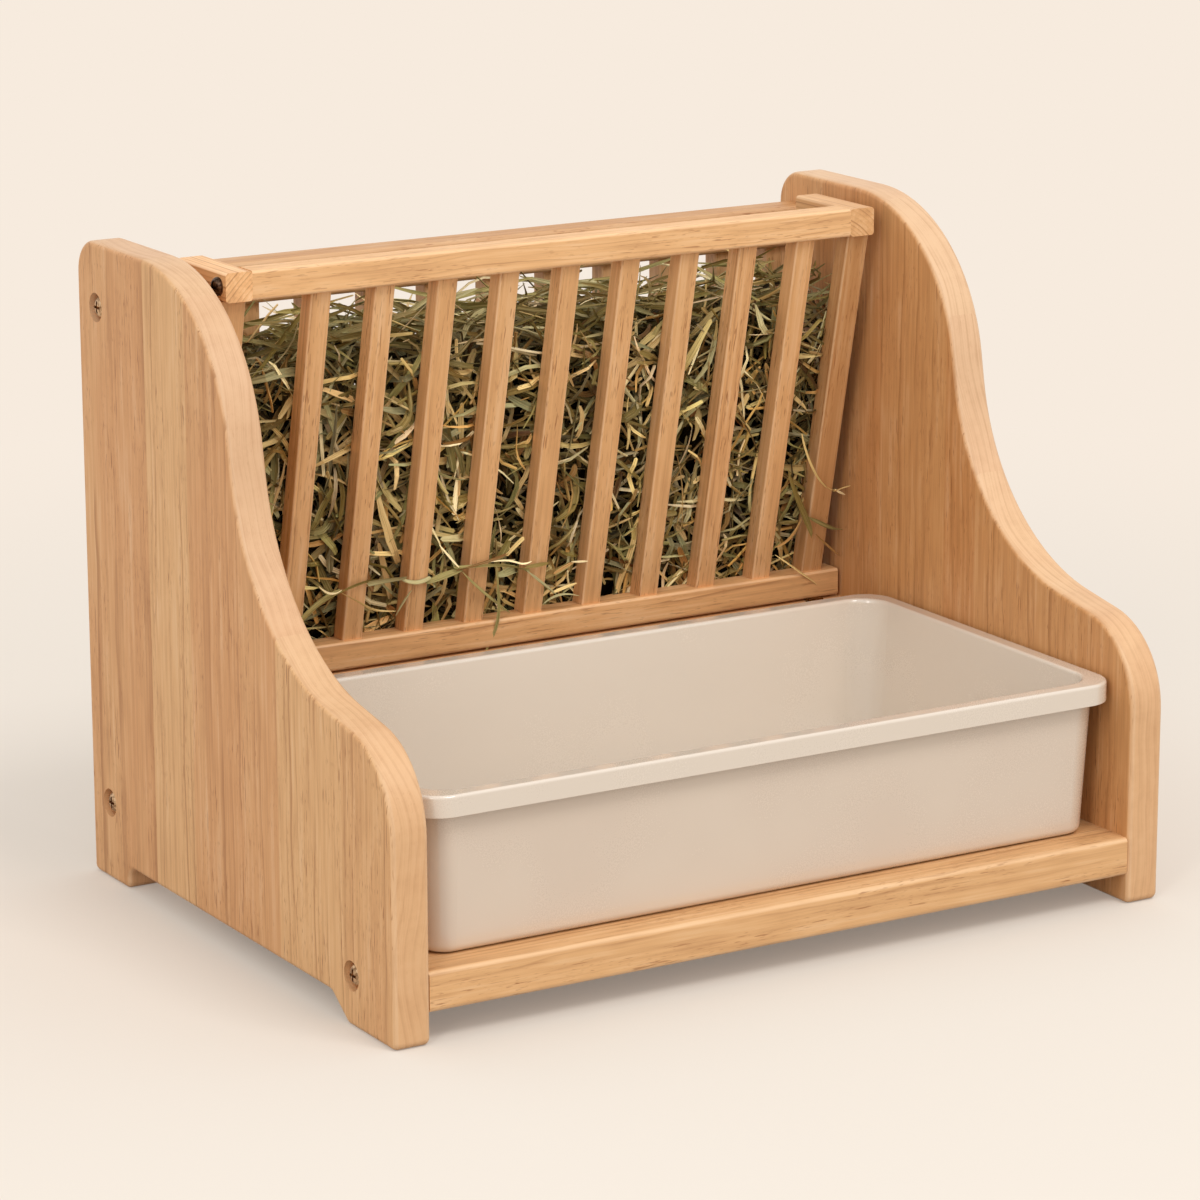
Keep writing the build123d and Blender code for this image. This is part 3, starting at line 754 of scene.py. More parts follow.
@dataclass(frozen=True)
class FloorFinish:
    """Warm cream studio paper, which fades into the backdrop's own even colour far from the box."""

    name: str = "floor_paper"
    paper: Colour = linear(224, 216, 206)
    far: Colour = linear(247, 235, 222)
    bounce: float = 0.7                         # share of the paper's colour that other surfaces get back
    fade: tuple[float, float] = (0.44, 1.05)    # from the middle, m
    glow: float = 0.22                          # share of even light that softens the shadows near by

    def make(self) -> bpy.types.Material:
        """Build the material: matt paper near the box, an even glow beyond for the eye and for gloss.

        Returns:
            The material.
        """
        g = Graph(self.name)
        away = g.length(g.node("ShaderNodeTexCoord", {}, {}, "Object"))
        eye = g.node("ShaderNodeLightPath", {}, {}, "Is Camera Ray")
        gloss = g.node("ShaderNodeLightPath", {}, {}, "Is Glossy Ray")
        dim = tuple(c * self.bounce for c in self.paper)
        matt = g.node("ShaderNodeBsdfDiffuse", {}, {"Color": g.mix(eye, dim, self.paper)})
        even = g.node("ShaderNodeEmission", {}, {"Color": (*self.far, 1.0), "Strength": 1.0})
        share = (self.glow + away.step(*self.fade) * (1.0 - self.glow)) * g.maths("MAXIMUM", eye, gloss)
        mixed = g.node("ShaderNodeMixShader", {}, {0: share, 1: matt, 2: even})
        g.tree.links.new(mixed.socket, g.output.inputs["Surface"])
        return g.material


# ---------------------------------------------------------------------------------------------------
# Mesh helpers


def vertices(node: str) -> np.ndarray:
    """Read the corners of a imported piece.

    Args:
        node: the piece's name.

    Returns:
        The corners as rows of x, y and z, in metres.
    """
    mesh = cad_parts[node].data
    place = np.empty(len(mesh.vertices) * 3, np.float32)
    mesh.vertices.foreach_get("co", place)
    return place.reshape(-1, 3).astype(float)


def long_axis(node: str) -> Point:
    """The direction in which a packed bar is longest: the first principal axis of its corners.

    Args:
        node: the bar's name.

    Returns:
        A unit vector, turned so that its largest part is positive.
    """
    place = vertices(node)
    _, _, axes = np.linalg.svd(place - place.mean(0), full_matrices=False)
    axis = axes[0] * np.sign(axes[0][np.abs(axes[0]).argmax()])
    return tuple(float(c) for c in axis)


def dress(node: str, material: bpy.types.Material) -> None:
    """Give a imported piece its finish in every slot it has.

    Args:
        node: the piece's name.
        material: its finish.
    """
    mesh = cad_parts[node].data
    if not mesh.materials:
        mesh.materials.append(material)
    for number in range(len(mesh.materials)):
        mesh.materials[number] = material
    LOG.info("%s dressed with %s", node, material.name)


def mesh_object(name: str, points: np.ndarray, faces: np.ndarray, material: bpy.types.Material,
                smooth: bool) -> bpy.types.Object:
    """Make an object of quads, where a repeated corner makes a triangle.

    Args:
        name: the object's name.
        points: its corners, n by 3, in metres.
        faces: four corner numbers a row; rows whose last two are equal are triangles.
        material: its finish.
        smooth: whether it is shaded smooth.

    Returns:
        The object, linked to the scene, at the origin.
    """
    triangle = faces[:, 2] == faces[:, 3]
    counts = np.where(triangle, 3, 4)
    keep = np.ones_like(faces, bool)
    keep[:, 3] = ~triangle
    mesh = bpy.data.meshes.new(name)
    mesh.vertices.add(len(points))
    mesh.vertices.foreach_set("co", points.astype(np.float32).ravel())
    mesh.loops.add(int(counts.sum()))
    mesh.loops.foreach_set("vertex_index", faces[keep].astype(np.int32))
    mesh.polygons.add(len(faces))
    mesh.polygons.foreach_set("loop_start", np.concatenate([[0], np.cumsum(counts)[:-1]]).astype(np.int32))
    mesh.polygons.foreach_set("use_smooth", np.full(len(faces), smooth))
    mesh.update(calc_edges=True)
    mesh.validate()
    mesh.materials.append(material)
    made = bpy.data.objects.new(name, mesh)
    bpy.context.scene.collection.objects.link(made)
    return made


# ---------------------------------------------------------------------------------------------------
# Sub-assemblies


@dataclass
class Carcass:
    """The two shaped side panels, the rails between them and the slatted back."""

    left_seams: tuple[float, ...] = (-104.0, -46.0, 37.0, 78.0)            # y, mm
    right_seams: tuple[float, ...] = (-92.0, -24.0, 1.0, 56.0, 108.0)
    back_knot: Knot = Knot((-152.0, 132.0, 287.0), 2.4)

    def build(self) -> None:
        """Dress the panels, each rail and each back slat with its own cut of pine."""
        for node, finish in {**self._panels(), **self._rails()}.items():
            dress(node, finish.make())
        for node in sorted(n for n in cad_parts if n.startswith(("back_slat_", "back_post_"))):
            seed = 10.0 + len(node) + sum(map(ord, node)) % 17     # from the name, so it stays with the bar
            dress(node, PineFinish("pine_" + node, UP, RIGHT, pith=(9.0 + seed, 30.0), flecks=0.8,
                                   seed=seed).make())

    def _panels(self) -> dict[str, PineFinish]:
        """Choose the finish of each side panel: glued staves whose figure comes from a distant pith.

        Returns:
            The finishes, by the name of the piece.
        """
        return {
            "left_panel": PineFinish(
                "pine_left_panel", UP, BACK, pith=(250.0, 110.0), ring=4.0, wander=4.5, contrast=1.2,
                flecks=1.0, tone=0.42, lift=1.04, seed=1.0, staves=self.left_seams, rim_along=True),
            "right_panel": PineFinish(
                "pine_right_panel", UP, BACK, pith=(-250.0, 70.0), ring=4.4, wander=6.0, contrast=1.35,
                flecks=0.85, tone=0.5, depth=0.55, lift=1.04, seed=2.0, staves=self.right_seams,
                # its paler rim is partly a painted highlight along the arris
                rim_along=True, rim=linear(222, 186, 150)),
        }

    def _rails(self) -> dict[str, PineFinish]:
        """Choose the finish of each rail that is fixed between the panels.

        Returns:
            The finishes, by the name of the piece.
        """
        return {
            "front_rail": PineFinish(
                "pine_front_rail", RIGHT, UP, pith=(-26.0, 30.0), ring=2.3, wander=6.0, contrast=1.3,
                flecks=0.7, tone=0.45, depth=0.05, lift=1.06, seed=3.0),
            "tray_support_rail": PineFinish("pine_support_rail", RIGHT, BACK, pith=(10.0, 40.0), seed=4.0),
            "back_bottom_rail": PineFinish("pine_back_bottom", RIGHT, UP, pith=(10.0, 60.0), seed=5.0),
            # painted shade: deeper orange and dimmer, for the shade on its front face behind the rack's top
            # rail
            "back_top_rail": PineFinish(
                "pine_back_top", RIGHT, UP, pith=(-8.0, 60.0), contrast=0.9, flecks=0.9, tone=0.3,
                depth=0.6, lift=0.92, seed=6.0, knots=(self.back_knot,)),
            # painted light: paler, against the shade under the rack's bottom rail
            "rack_sill": PineFinish(
                "pine_sill", RIGHT, UP, pith=(14.0, 44.0), depth=0.2, lift=1.2, seed=7.0),
        }


@dataclass
class Rack:
    """The leaning slatted rack, its rails, arms and posts."""

    slats: int = 9
    rail_knot: Knot = Knot((-151.0, 88.6, 103.5), 1.3)

    def build(self) -> None:
        """Dress the rack: slats and posts along their own lean, arms that show end grain to the front."""
        for node, finish in {**self._rails(), **self._arms()}.items():
            dress(node, finish.make())
        leaning = [f"rack_slat_{n + 1}" for n in range(self.slats)] + ["rack_post_left", "rack_post_right"]
        for number, node in enumerate(leaning):
            dress(node, self._leaning(node, number).make())

    def _rails(self) -> dict[str, PineFinish]:
        """Choose the finish of the two long rails.

        Returns:
            The finishes, by the name of the piece.
        """
        return {
            "rack_top_rail": PineFinish(
                "pine_rack_top", RIGHT, UP, pith=(-30.0, 22.0), ring=2.1, wander=5.0, contrast=0.85,
                flecks=0.7, tone=0.3, lift=1.12, seed=30.0),
            "rack_bottom_rail": PineFinish(
                "pine_rack_bottom", RIGHT, UP, pith=(18.0, 30.0), ring=2.4, wander=4.0, contrast=0.9,
                flecks=0.6, depth=0.3, lift=1.18, seed=31.0, knots=(self.rail_knot,)),
        }

    @staticmethod
    def _arms() -> dict[str, PineFinish]:
        """Choose the finish of the two arms, whose rings show at their front ends.

        Returns:
            The finishes, by the name of the piece.
        """
        return {
            "rack_arm_left": PineFinish(
                "pine_arm_left", BACK, RIGHT, pith=(-95.0, -220.0), ring=1.7, wander=0.6, contrast=3.0,
                flecks=0.1, tone=0.8, lift=1.22, seed=32.0),
            "rack_arm_right": PineFinish(
                "pine_arm_right", BACK, RIGHT, pith=(145.0, -262.0), ring=1.7, wander=0.6, contrast=3.0,
                flecks=0.1, tone=0.7, depth=0.2, lift=1.06, seed=33.0),
        }

    @staticmethod
    def _leaning(node: str, number: int) -> PineFinish:
        """Choose the finish of one slat or post: tone and age go round in a fixed order, and the right post
        gets painted shade.

        Args:
            node: the bar's name.
            number: its place in that order.

        Returns:
            The finish.
        """
        in_painted_shade = node == "rack_post_right"      # painted shade: darker and more orange, for the shade of the right panel
        return PineFinish(
            "pine_" + node, long_axis(node), RIGHT, pith=(11.0 * number - 40.0, 24.0), ring=2.3, wander=2.5,
            contrast=0.8, flecks=0.85, tone=0.25 + 0.06 * (number * 5 % 9),
            depth=0.5 if in_painted_shade else 0.16 + 0.04 * (number % 3), lift=0.9 if in_painted_shade else 1.1,
            seed=40.0 + number)


@dataclass
class Tray:
    """The loose feed tray."""

    finish: TrayFinish = TrayFinish()

    def build(self) -> None:
        """Dress the tray."""
        dress("tray", self.finish.make())


@dataclass
class Hardware:
    """Screws, arm screws and the small butt hinges under the rack."""

    zinc: MetalFinish = MetalFinish("zinc_screw", linear(222, 186, 146), linear(142, 106, 74), 0.34)
    steel: MetalFinish = MetalFinish("dark_steel", linear(112, 88, 70), linear(44, 32, 26), 0.34)
    brass: MetalFinish = MetalFinish("brass_hinge", linear(190, 150, 92), linear(120, 84, 44), 0.38)

    def build(self) -> None:
        """Dress every metal part."""
        zinc, steel, brass = (finish.make() for finish in (self.zinc, self.steel, self.brass))
        for side in Side:
            dress(f"{side.value}_panel_screws", zinc)
            dress(f"hinge_fixed_leaf_{side.value}", brass)
            dress(f"hinge_moving_leaf_{side.value}", brass)
            dress(f"hinge_pin_{side.value}", steel)
        dress("arm_screws", steel)


@dataclass(frozen=True)
class StrandKind:
    """One kind of hay strand, with its ranges in millimetres."""

    share: float
    length: tuple[float, float]
    width: tuple[float, float]
    thickness: float
    bend: float          # bow to one side as a share of the length
    kink: float          # how far the middle is broken, as a share of the length
    taper: float         # width at the tips as a share of the width
    colours: tuple[Colour, ...]


GREEN: Colour = linear(132, 122, 74)
OLIVE: Colour = linear(118, 101, 52)
SAGE: Colour = linear(158, 151, 110)
STRAW: Colour = linear(198, 172, 114)
GOLD: Colour = linear(196, 156, 90)
PALE: Colour = linear(226, 209, 164)
RUST: Colour = linear(150, 110, 60)
UMBER: Colour = linear(104, 70, 32)

# Shares, lengths, widths, thicknesses, bends, kinks and tapers of the blades and stems in the mass of hay,
# and of the longer, greener ones on top.
LEAVES = (
    StrandKind(0.28, (14, 44), (2.2, 4.2), 0.4, 0.12, 0.2, 0.62, (GREEN, OLIVE, SAGE, STRAW, STRAW, OLIVE)),
    StrandKind(0.36, (16, 50), (1.0, 2.2), 0.4, 0.16, 0.26, 0.4, (GREEN, OLIVE, STRAW, SAGE, PALE, GOLD)),
    StrandKind(0.24, (12, 38), (1.3, 2.3), 1.1, 0.05, 0.36, 0.85, (STRAW, GOLD, PALE, STRAW, OLIVE)),
    StrandKind(0.12, (10, 26), (2.2, 4.0), 0.4, 0.16, 0.3, 0.66, (RUST, UMBER, OLIVE, STRAW)),
)
TOPS = (
    StrandKind(0.5, (26, 66), (1.5, 3.2), 0.3, 0.08, 0.08, 0.3, (SAGE, GREEN, GREEN, OLIVE)),
    StrandKind(0.3, (22, 52), (1.0, 1.7), 0.3, 0.1, 0.1, 0.25, (SAGE, GREEN, PALE)),
    StrandKind(0.2, (22, 50), (1.1, 1.8), 0.8, 0.04, 0.14, 0.7, (SAGE, STRAW, OLIVE)),
)


@dataclass(frozen=True)
class Stray:
    """A listed strand that lies across the front of the rack.

    Points are (x, height up the slats from the bottom rail, distance in front of the slats), in mm.
    """

    points: tuple[Point, ...]
    width: float
    colour: Colour
    thickness: float = 0.5
    taper: float = 0.3


STRAYS = (
    Stray(((-120.0, 14.0, 1.6), (-110.0, 22.3, 1.4), (-100.0, 26.6, 1.2)), 3.0, GREEN, taper=0.8),
    Stray(((-100.5, 26.4, 1.6), (-94.2, 28.8, 1.6), (-87.4, 30.2, 1.4), (-81.0, 30.4, 1.4)), 1.5, OLIVE),
    Stray(((-86.0, 29.4, 2.0), (-77.4, 30.1, 2.4), (-66.5, 30.0, 2.4)), 3.1, SAGE, taper=0.85),
    Stray(((-68.0, 28.4, 1.6), (-60.0, 25.6, 1.4), (-53.0, 27.2, 1.4)), 2.1, SAGE, taper=0.8),
    Stray(((-54.3, 25.0, 1.5), (-45.1, 27.6, 1.9), (-36.7, 29.4, 2.1)), 2.8, GREEN, taper=0.5),
    Stray(((-40.2, 31.0, 2.3), (-21.7, 29.4, 2.3), (-9.3, 27.2, 2.1), (1.0, 23.5, 1.9)), 2.1, GREEN,
          taper=0.8),
    Stray(((0.0, 23.6, 2.1), (9.0, 16.2, 1.9), (17.8, 8.8, 1.7)), 1.2, SAGE),
    Stray(((-112.0, 31.2, 1.9), (-106.0, 27.0, 2.3), (-100.1, 27.8, 2.1)), 0.9, PALE),
    Stray(((-99.5, 26.0, 2.1), (-87.3, 18.3, 1.9), (-80.7, 14.6, 1.7), (-70.0, 12.4, 1.6)), 1.0, STRAW),
    Stray(((-49.5, 43.6, 1.4), (-43.4, 36.5, 1.9), (-37.5, 30.2, 2.3)), 1.1, PALE),
    Stray(((-39.5, 30.0, 3.0), (-21.0, 32.9, 3.0), (-11.6, 35.2, 2.6)), 1.3, UMBER),
    Stray(((-13.0, 34.2, 2.6), (-9.5, 38.3, 3.0), (-5.2, 42.2, 3.2)), 1.9, STRAW, taper=0.9),
    Stray(((-22.0, 32.0, 3.2), (-11.0, 31.0, 3.6), (-5.5, 29.0, 3.8), (0.4, 29.4, 3.8)), 1.3, PALE),
    Stray(((-1.0, 25.8, 1.9), (11.2, 26.2, 1.6)), 1.7, OLIVE, taper=0.6),
    Stray(((-36.0, 28.2, 2.6), (-24.6, 16.9, 2.3), (-7.6, 3.0, 1.9)), 1.7, GREEN, taper=0.25),
    Stray(((-17.5, 27.0, 3.4), (-15.6, 14.0, 3.6), (-14.9, 4.9, 3.8), (-16.0, -6.0, 4.2),
           (-22.5, -18.0, 5.2)), 1.4, GREEN),
    Stray(((-62.0, 21.6, 0.9), (-65.4, 16.2, 0.9), (-69.0, 9.8, 0.9)), 1.0, SAGE),
    Stray(((11.5, 4.6, 1.4), (17.7, 7.8, 1.6), (24.0, 7.8, 1.6), (31.0, 6.0, 1.4)), 1.2, SAGE),
    Stray(((15.6, 20.0, 1.4), (25.9, 24.8, 1.6)), 1.3, RUST, taper=0.6),
    Stray(((24.5, 25.0, 1.8), (33.6, 24.0, 1.4)), 1.0, PALE),
    Stray(((15.0, 9.6, 1.4), (28.4, 13.0, 1.6)), 1.6, STRAW, taper=0.5),
    Stray(((148.0, 77.0, 2.2), (152.5, 66.0, 2.4), (161.9, 51.2, 2.6), (173.9, 43.8, 2.8)), 1.1, STRAW),
    Stray(((171.0, 44.0, 3.4), (176.5, 45.2, 3.4), (180.6, 45.6, 3.0)), 1.0, STRAW),
    Stray(((172.0, 44.6, 2.8), (178.4, 41.0, 2.8)), 1.2, PALE),
    Stray(((143.6, 58.0, 1.0), (151.0, 43.0, 1.6), (158.4, 29.2, 2.2), (162.0, 20.0, 2.4)), 3.0, OLIVE,
          taper=0.1),
    Stray(((157.6, 31.4, 2.0), (165.0, 28.0, 2.4), (172.0, 24.4, 2.6), (179.8, 21.9, 2.6)), 2.2, GREEN,
          taper=0.1),
    Stray(((165.0, 20.8, 1.8), (173.0, 13.6, 2.0), (180.4, 7.2, 2.0)), 0.9, RUST),
    Stray(((142.6, 12.3, 1.4), (154.5, 3.8, 3.0), (167.7, -5.7, 4.4)), 1.1, STRAW),
    Stray(((142.0, 16.6, 1.4), (150.0, 20.7, 1.6), (155.0, 30.4, 1.6)), 1.2, RUST),
)


class Region(Enum):
    """Where in the hay a batch of strands lies, with the name of its piece."""

    FRONT = "hay_front"
    BACK = "hay_back"
    TOP = "hay_top"
    ENDS = "hay_ends"


@dataclass
class Batch:
    """Strands that are ready to be meshed, one a row."""

    path: np.ndarray       # strand, ring, 3, in mm
    width: np.ndarray      # mm
    thick: np.ndarray      # mm
    taper: np.ndarray      # width at the tips as a share of the width
    colour: np.ndarray     # strand, 3


@dataclass
class Hay:
    """The hay between the rack and the slatted back, with strays that hang across the slats."""

    COLOUR: ClassVar[str] = "strand_colour"
    ROUTE: ClassVar[str] = "strand_route"
    FRONT_SLAT: ClassVar[str] = "rack_slat_5"       # its face gives the plane that strays lie on

    counts: tuple[int, int, int, int] = (2900, 2100, 1080, 260)   # strands in each region, in order
    segments: int = 6
    seed: int = 7
    slat_pitch: float = 32.5             # mm
    slat_middle: float = 6.9             # x of the middle slat, mm
    front_bulge: float = 5.0             # how far hay swells into a front gap, mm
    back_bulge: float = 4.0
    free_height: float = 118.0           # below this nothing reaches the rails' sweep, mm
    free_rise: float = 14.0              # height over which the front gaps come to swell fully, mm
    top: float = 248.0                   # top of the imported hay, mm
    brightness: tuple[float, float] = (0.66, 1.4)
    tint: tuple[float, float] = (0.94, 1.06)
    curl_ends: float = 170.0             # x of the hay's ends for the curl, mm
    curl: tuple[float, float] = (0.45, 1.45)        # bend and kink at the left end and the right
    slimming: tuple[float, float] = (1.14, 0.86)    # width at the left end and the right
    margin: float = 2.0                  # strands' middles keep this far inside the hay's sides, mm
    head_margin: float = 3.0             # and this far below its top
    proud_front: float = 3.0             # how far they may stand before the front, ahead of pressing, mm
    proud_back: float = 2.0              # and behind the back
    layer: float = 20.0                  # how deep a face's strands lie, mm
    hollow: float = 7.0                  # how much deeper in the hollows, mm
    end_gap: float = 1.0                 # from the hay's ends to the first strands' middles, mm
    end_layer: float = 0.6               # depth of the ends' strands as a share of a face's
    inside: float = 22.0                 # depth that counts as well inside, mm
    inside_ends: float = 30.0            # and at the ends
    crest_foot: float = 16.0             # the loose crest starts this far below the top, mm
    crest_rise: float = 33.0             # and is this high, mm
    left_dip: float = 15.0               # but lower by this at the left end, mm
    dip_start: float = -130.0            # x from which it dips, mm
    dip_run: float = 24.0                # and how far on the dip is full, mm
    crest_depth: float = 0.34            # depth at the foot of the crest, 0 to 1
    crest_reach: float = 26.0            # no strand of the crest lies higher than this over the top, mm
    packed_reach: float = 3.0            # and no other strand higher than this
    front_gap: float = 0.3               # room left behind the rack, mm
    back_gap: float = 0.2                # room left before the back, mm
    light: tuple[float, float] = (1.46, 0.09)       # painted light and shade: brightness at the surface, and the least of all
    light_fall: float = 2.1              # painted shade: how much of it is lost from the surface to well inside
    redden: tuple[float, float, float] = (1.0, 0.92, 0.72)     # painted shade: colour well inside against the surface
    fold: float = 0.4                    # depth of a blade's fold as a share of half its width
    tip: float = 0.3                     # length of a tip as a share of the width
    stray_segments: int = 10
    stray_swell: float = 1.15            # strays are drawn this much wider than their blades measure
    stray_gleam: float = 1.6             # and this much brighter, out in the light
    core_inset: float = 15.0             # mm
    core_foot: float = 4.0               # from the floor of the hay to the core, mm
    core_head: float = 18.0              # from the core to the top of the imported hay, mm
    core_ends: float = 7.0               # from the core to the ends of the hay, mm
    core_steps: int = 12                 # points along each side of the core's section
    core_rings: int = 90                 # sections along x
    core_lump: float = 0.05              # how uneven the core is, as a share of its size
    rng: np.random.Generator = field(init=False)

    def __post_init__(self) -> None:
        """Read the hay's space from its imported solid."""
        self.rng = np.random.default_rng(self.seed)
        place = vertices("hay_fill") / MM
        self.low, self.high = place.min(0), place.max(0)
        floor = place[place[:, 2] < self.low[2] + 1.0]
        crest = place[place[:, 2] > self.high[2] - 1.0]
        self.foot_front, self.head_front = floor[:, 1].min(), crest[:, 1].min()
        self.back = self.high[1]

    def front_at(self, z: np.ndarray) -> np.ndarray:
        """The leaning front of the hay: a straight line in y against z."""
        share = (z - self.low[2]) / (self.high[2] - self.low[2])
        return self.foot_front + (self.head_front - self.foot_front) * share

    def gap_swell(self, x: np.ndarray) -> np.ndarray:
        """1 in the middle of a gap between slats and 0 behind a slat: a clipped cosine."""
        phase = (x - self.slat_middle) / self.slat_pitch * 2 * np.pi
        return np.clip(0.55 - np.cos(phase) * 0.9, 0, 1)

    def build(self) -> None:
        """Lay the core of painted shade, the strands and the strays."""
        finish = HayFinish().make()
        core = self._shade_core(ShadeCoreFinish().make())
        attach(core, "root")
        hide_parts("hay_fill")
        LOG.info("hay core laid")
        batches = {region: self._scatter(count, region) for region, count in zip(Region, self.counts)}
        for region, batch in batches.items():
            self._strands(region.value, batch, finish, "root")
        self._strands("hay_strays", self._strays(), finish, "rack")

    def _shade_core(self, material: bpy.types.Material) -> bpy.types.Object:
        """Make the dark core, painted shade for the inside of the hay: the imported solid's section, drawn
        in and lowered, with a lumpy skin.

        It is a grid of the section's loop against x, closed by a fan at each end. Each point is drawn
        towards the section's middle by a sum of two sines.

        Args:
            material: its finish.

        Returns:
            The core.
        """
        inset = self.core_inset
        z0, z1 = self.low[2] + self.core_foot, self.top - self.core_head
        section = np.array([
            [self.front_at(np.array(z0)) + inset, z0], [self.back - inset, z0],
            [self.back - inset, z1], [self.front_at(np.array(z1)) + inset, z1],
        ], float)
        sides = zip(section, np.roll(section, -1, axis=0))
        loop = np.concatenate([np.linspace(a, b, self.core_steps, endpoint=False) for a, b in sides])
        middle = section.mean(0)
        x = np.linspace(self.low[0] + self.core_ends, self.high[0] - self.core_ends, self.core_rings)
        grid_x, grid_k = np.meshgrid(x, np.arange(len(loop)), indexing="ij")
        y, z = loop[grid_k, 0], loop[grid_k, 1]
        waves = np.sin(grid_x / 7.0 + z / 9.0) + np.sin(grid_x / 13.0 - z / 6.0 + 2.0)
        lump = 1 - self.core_lump * (waves + 1.0)
        y, z = middle[0] + (y - middle[0]) * lump, middle[1] + (z - middle[1]) * lump
        points = np.stack([grid_x, y, z], -1).reshape(-1, 3)
        count, around = len(x), len(loop)
        i, k = np.meshgrid(np.arange(count - 1), np.arange(around), indexing="ij")
        after = (k + 1) % around
        quads = np.stack([i * around + k, i * around + after, (i + 1) * around + after,
                          (i + 1) * around + k], -1).reshape(-1, 4)
        ends = np.array([[x[0], *middle], [x[-1], *middle]])
        ring = np.arange(around)
        turn = (ring + 1) % around
        first, last = len(points), len(points) + 1
        cap_low = np.stack([ring, np.full(around, first), turn, turn], -1)
        base = (count - 1) * around
        cap_high = np.stack([base + turn, np.full(around, last), base + ring, base + ring], -1)
        faces = np.vstack([quads, cap_low, cap_high])
        made = mesh_object("hay_shade_core", np.vstack([points, ends]) * MM, faces, material, True)
        self._outward(made)
        return made

    @staticmethod
    def _outward(made: bpy.types.Object) -> None:
        """Turn a closed mesh so that its faces look out: its signed volume is made positive.

        Args:
            made: the object that has the mesh.
        """
        mesh = made.data
        mesh.calc_loop_triangles()
        tri = np.empty(len(mesh.loop_triangles) * 3, np.int32)
        mesh.loop_triangles.foreach_get("vertices", tri)
        place = np.empty(len(mesh.vertices) * 3, np.float32)
        mesh.vertices.foreach_get("co", place)
        a, b, c = place.reshape(-1, 3)[tri.reshape(-1, 3)].transpose(1, 0, 2).astype(float)
        if (np.cross(a, b) * c).sum() < 0:
            mesh.flip_normals()

    def _scatter(self, count: int, region: Region) -> Batch:
        """Draw strands of several kinds in one region of the hay.

        A strand is a straight line with a parabola to one side and an elbow, which is a ramp that starts
        at a random place along it.

        Args:
            count: how many strands.
            region: where they lie.

        Returns:
            The strands.
        """
        rng = self.rng
        kinds = TOPS if region is Region.TOP else LEAVES
        shares = np.array([k.share for k in kinds])
        pick = rng.choice(len(kinds), count, p=shares / shares.sum())
        length = np.array([rng.uniform(*kinds[k].length) for k in pick])
        width = np.array([rng.uniform(*kinds[k].width) for k in pick])
        thick = np.array([kinds[k].thickness for k in pick])
        bend = np.array([kinds[k].bend for k in pick]) * rng.normal(0, 1, count)
        kink = np.array([kinds[k].kink for k in pick]) * rng.normal(0, 1, count)
        taper = np.array([kinds[k].taper for k in pick])
        colour = np.array([kinds[k].colours[rng.integers(len(kinds[k].colours))] for k in pick])
        colour = colour * rng.uniform(*self.brightness, (count, 1)) * rng.uniform(*self.tint, (count, 3))
        centre, depth = self._centres(count, region)
        curl = np.interp(centre[:, 0], [-self.curl_ends, self.curl_ends], self.curl)
        width = width * np.interp(curl, self.curl, self.slimming)
        direction = self._directions(count, region)
        side = rng.normal(0, 1, (count, 3))
        side -= (side * direction).sum(1, keepdims=True) * direction
        side /= np.linalg.norm(side, axis=1, keepdims=True)
        s = np.linspace(-0.5, 0.5, self.segments + 1)
        bow = (0.25 - s ** 2)[None, :] * 4 * (bend * curl)[:, None]
        elbow_at = rng.uniform(-0.25, 0.25, count)
        elbow = np.maximum(0, s[None, :] - elbow_at[:, None]) * (kink * curl)[:, None] * 2
        straight = direction[:, None, :] * (s[None, :, None] * length[:, None, None])
        sideways = side[:, None, :] * ((bow + elbow) * length[:, None])[:, :, None]
        path = self._hold_in(centre[:, None, :] + straight + sideways, width, region)
        # painted shade: colours darken and redden with depth
        return Batch(path, width, thick, taper, colour * self._painted_shade(depth))

    def _painted_shade(self, depth: np.ndarray) -> np.ndarray:
        """Painted shade: how much darker and redder strands are inside, and brighter at the surface: a
        straight fall with a floor, by depth 0 to 1.

        Args:
            depth: how deep each strand lies, 0 at the surface and 1 well inside.

        Returns:
            What each strand's colour is multiplied by, one a row.
        """
        surface, least = self.light
        inner = np.clip(depth, 0, 1)[:, None]
        return (surface - self.light_fall * inner).clip(least) * np.power(self.redden, inner)

    def _centres(self, count: int, region: Region) -> tuple[np.ndarray, np.ndarray]:
        """Where strands lie, and how deep behind the surface, 0 at it and 1 well inside.

        Args:
            count: how many strands.
            region: where they lie.

        Returns:
            Their middles, n by 3, in mm, and their depths.
        """
        rng = self.rng
        x = rng.uniform(self.low[0] + self.margin, self.high[0] - self.margin, count)
        z = rng.uniform(self.low[2] + self.margin, self.top - self.head_margin, count)
        waves = np.sin(x / 9.0 + np.sin(z / 13.0) * 2) * np.sin(z / 8.5 + np.sin(x / 15.0) * 2)
        layer = rng.beta(1.1, 1.9, count) * self.layer + np.clip(waves, 0, 1) * self.hollow
        if region is Region.FRONT:
            y = self.front_at(z) - self.proud_front + layer
            return np.stack([x, y, z], 1), layer / self.inside
        if region is Region.BACK:
            y = self.back + self.proud_back - layer
            return np.stack([x, y, z], 1), layer / self.inside
        if region is Region.ENDS:
            side = rng.choice([-1.0, 1.0], count)
            x = side * (self.high[0] - self.end_gap - layer * self.end_layer)
            y = self.front_at(z) + rng.uniform(0, 1, count) * (self.back - self.front_at(z))
            return np.stack([x, y, z], 1), layer / self.inside_ends
        rise = rng.beta(1.0, 1.5, count)
        dip = self.left_dip * np.clip((self.dip_start - x) / self.dip_run, 0, 1)
        z = self.top - self.crest_foot + rise * self.crest_rise - dip
        front = self.front_at(z)
        y = front + (1 - rng.beta(1.0, 1.7, count)) * (self.back - front)
        return np.stack([x, y, z], 1), self.crest_depth * (1 - rise)

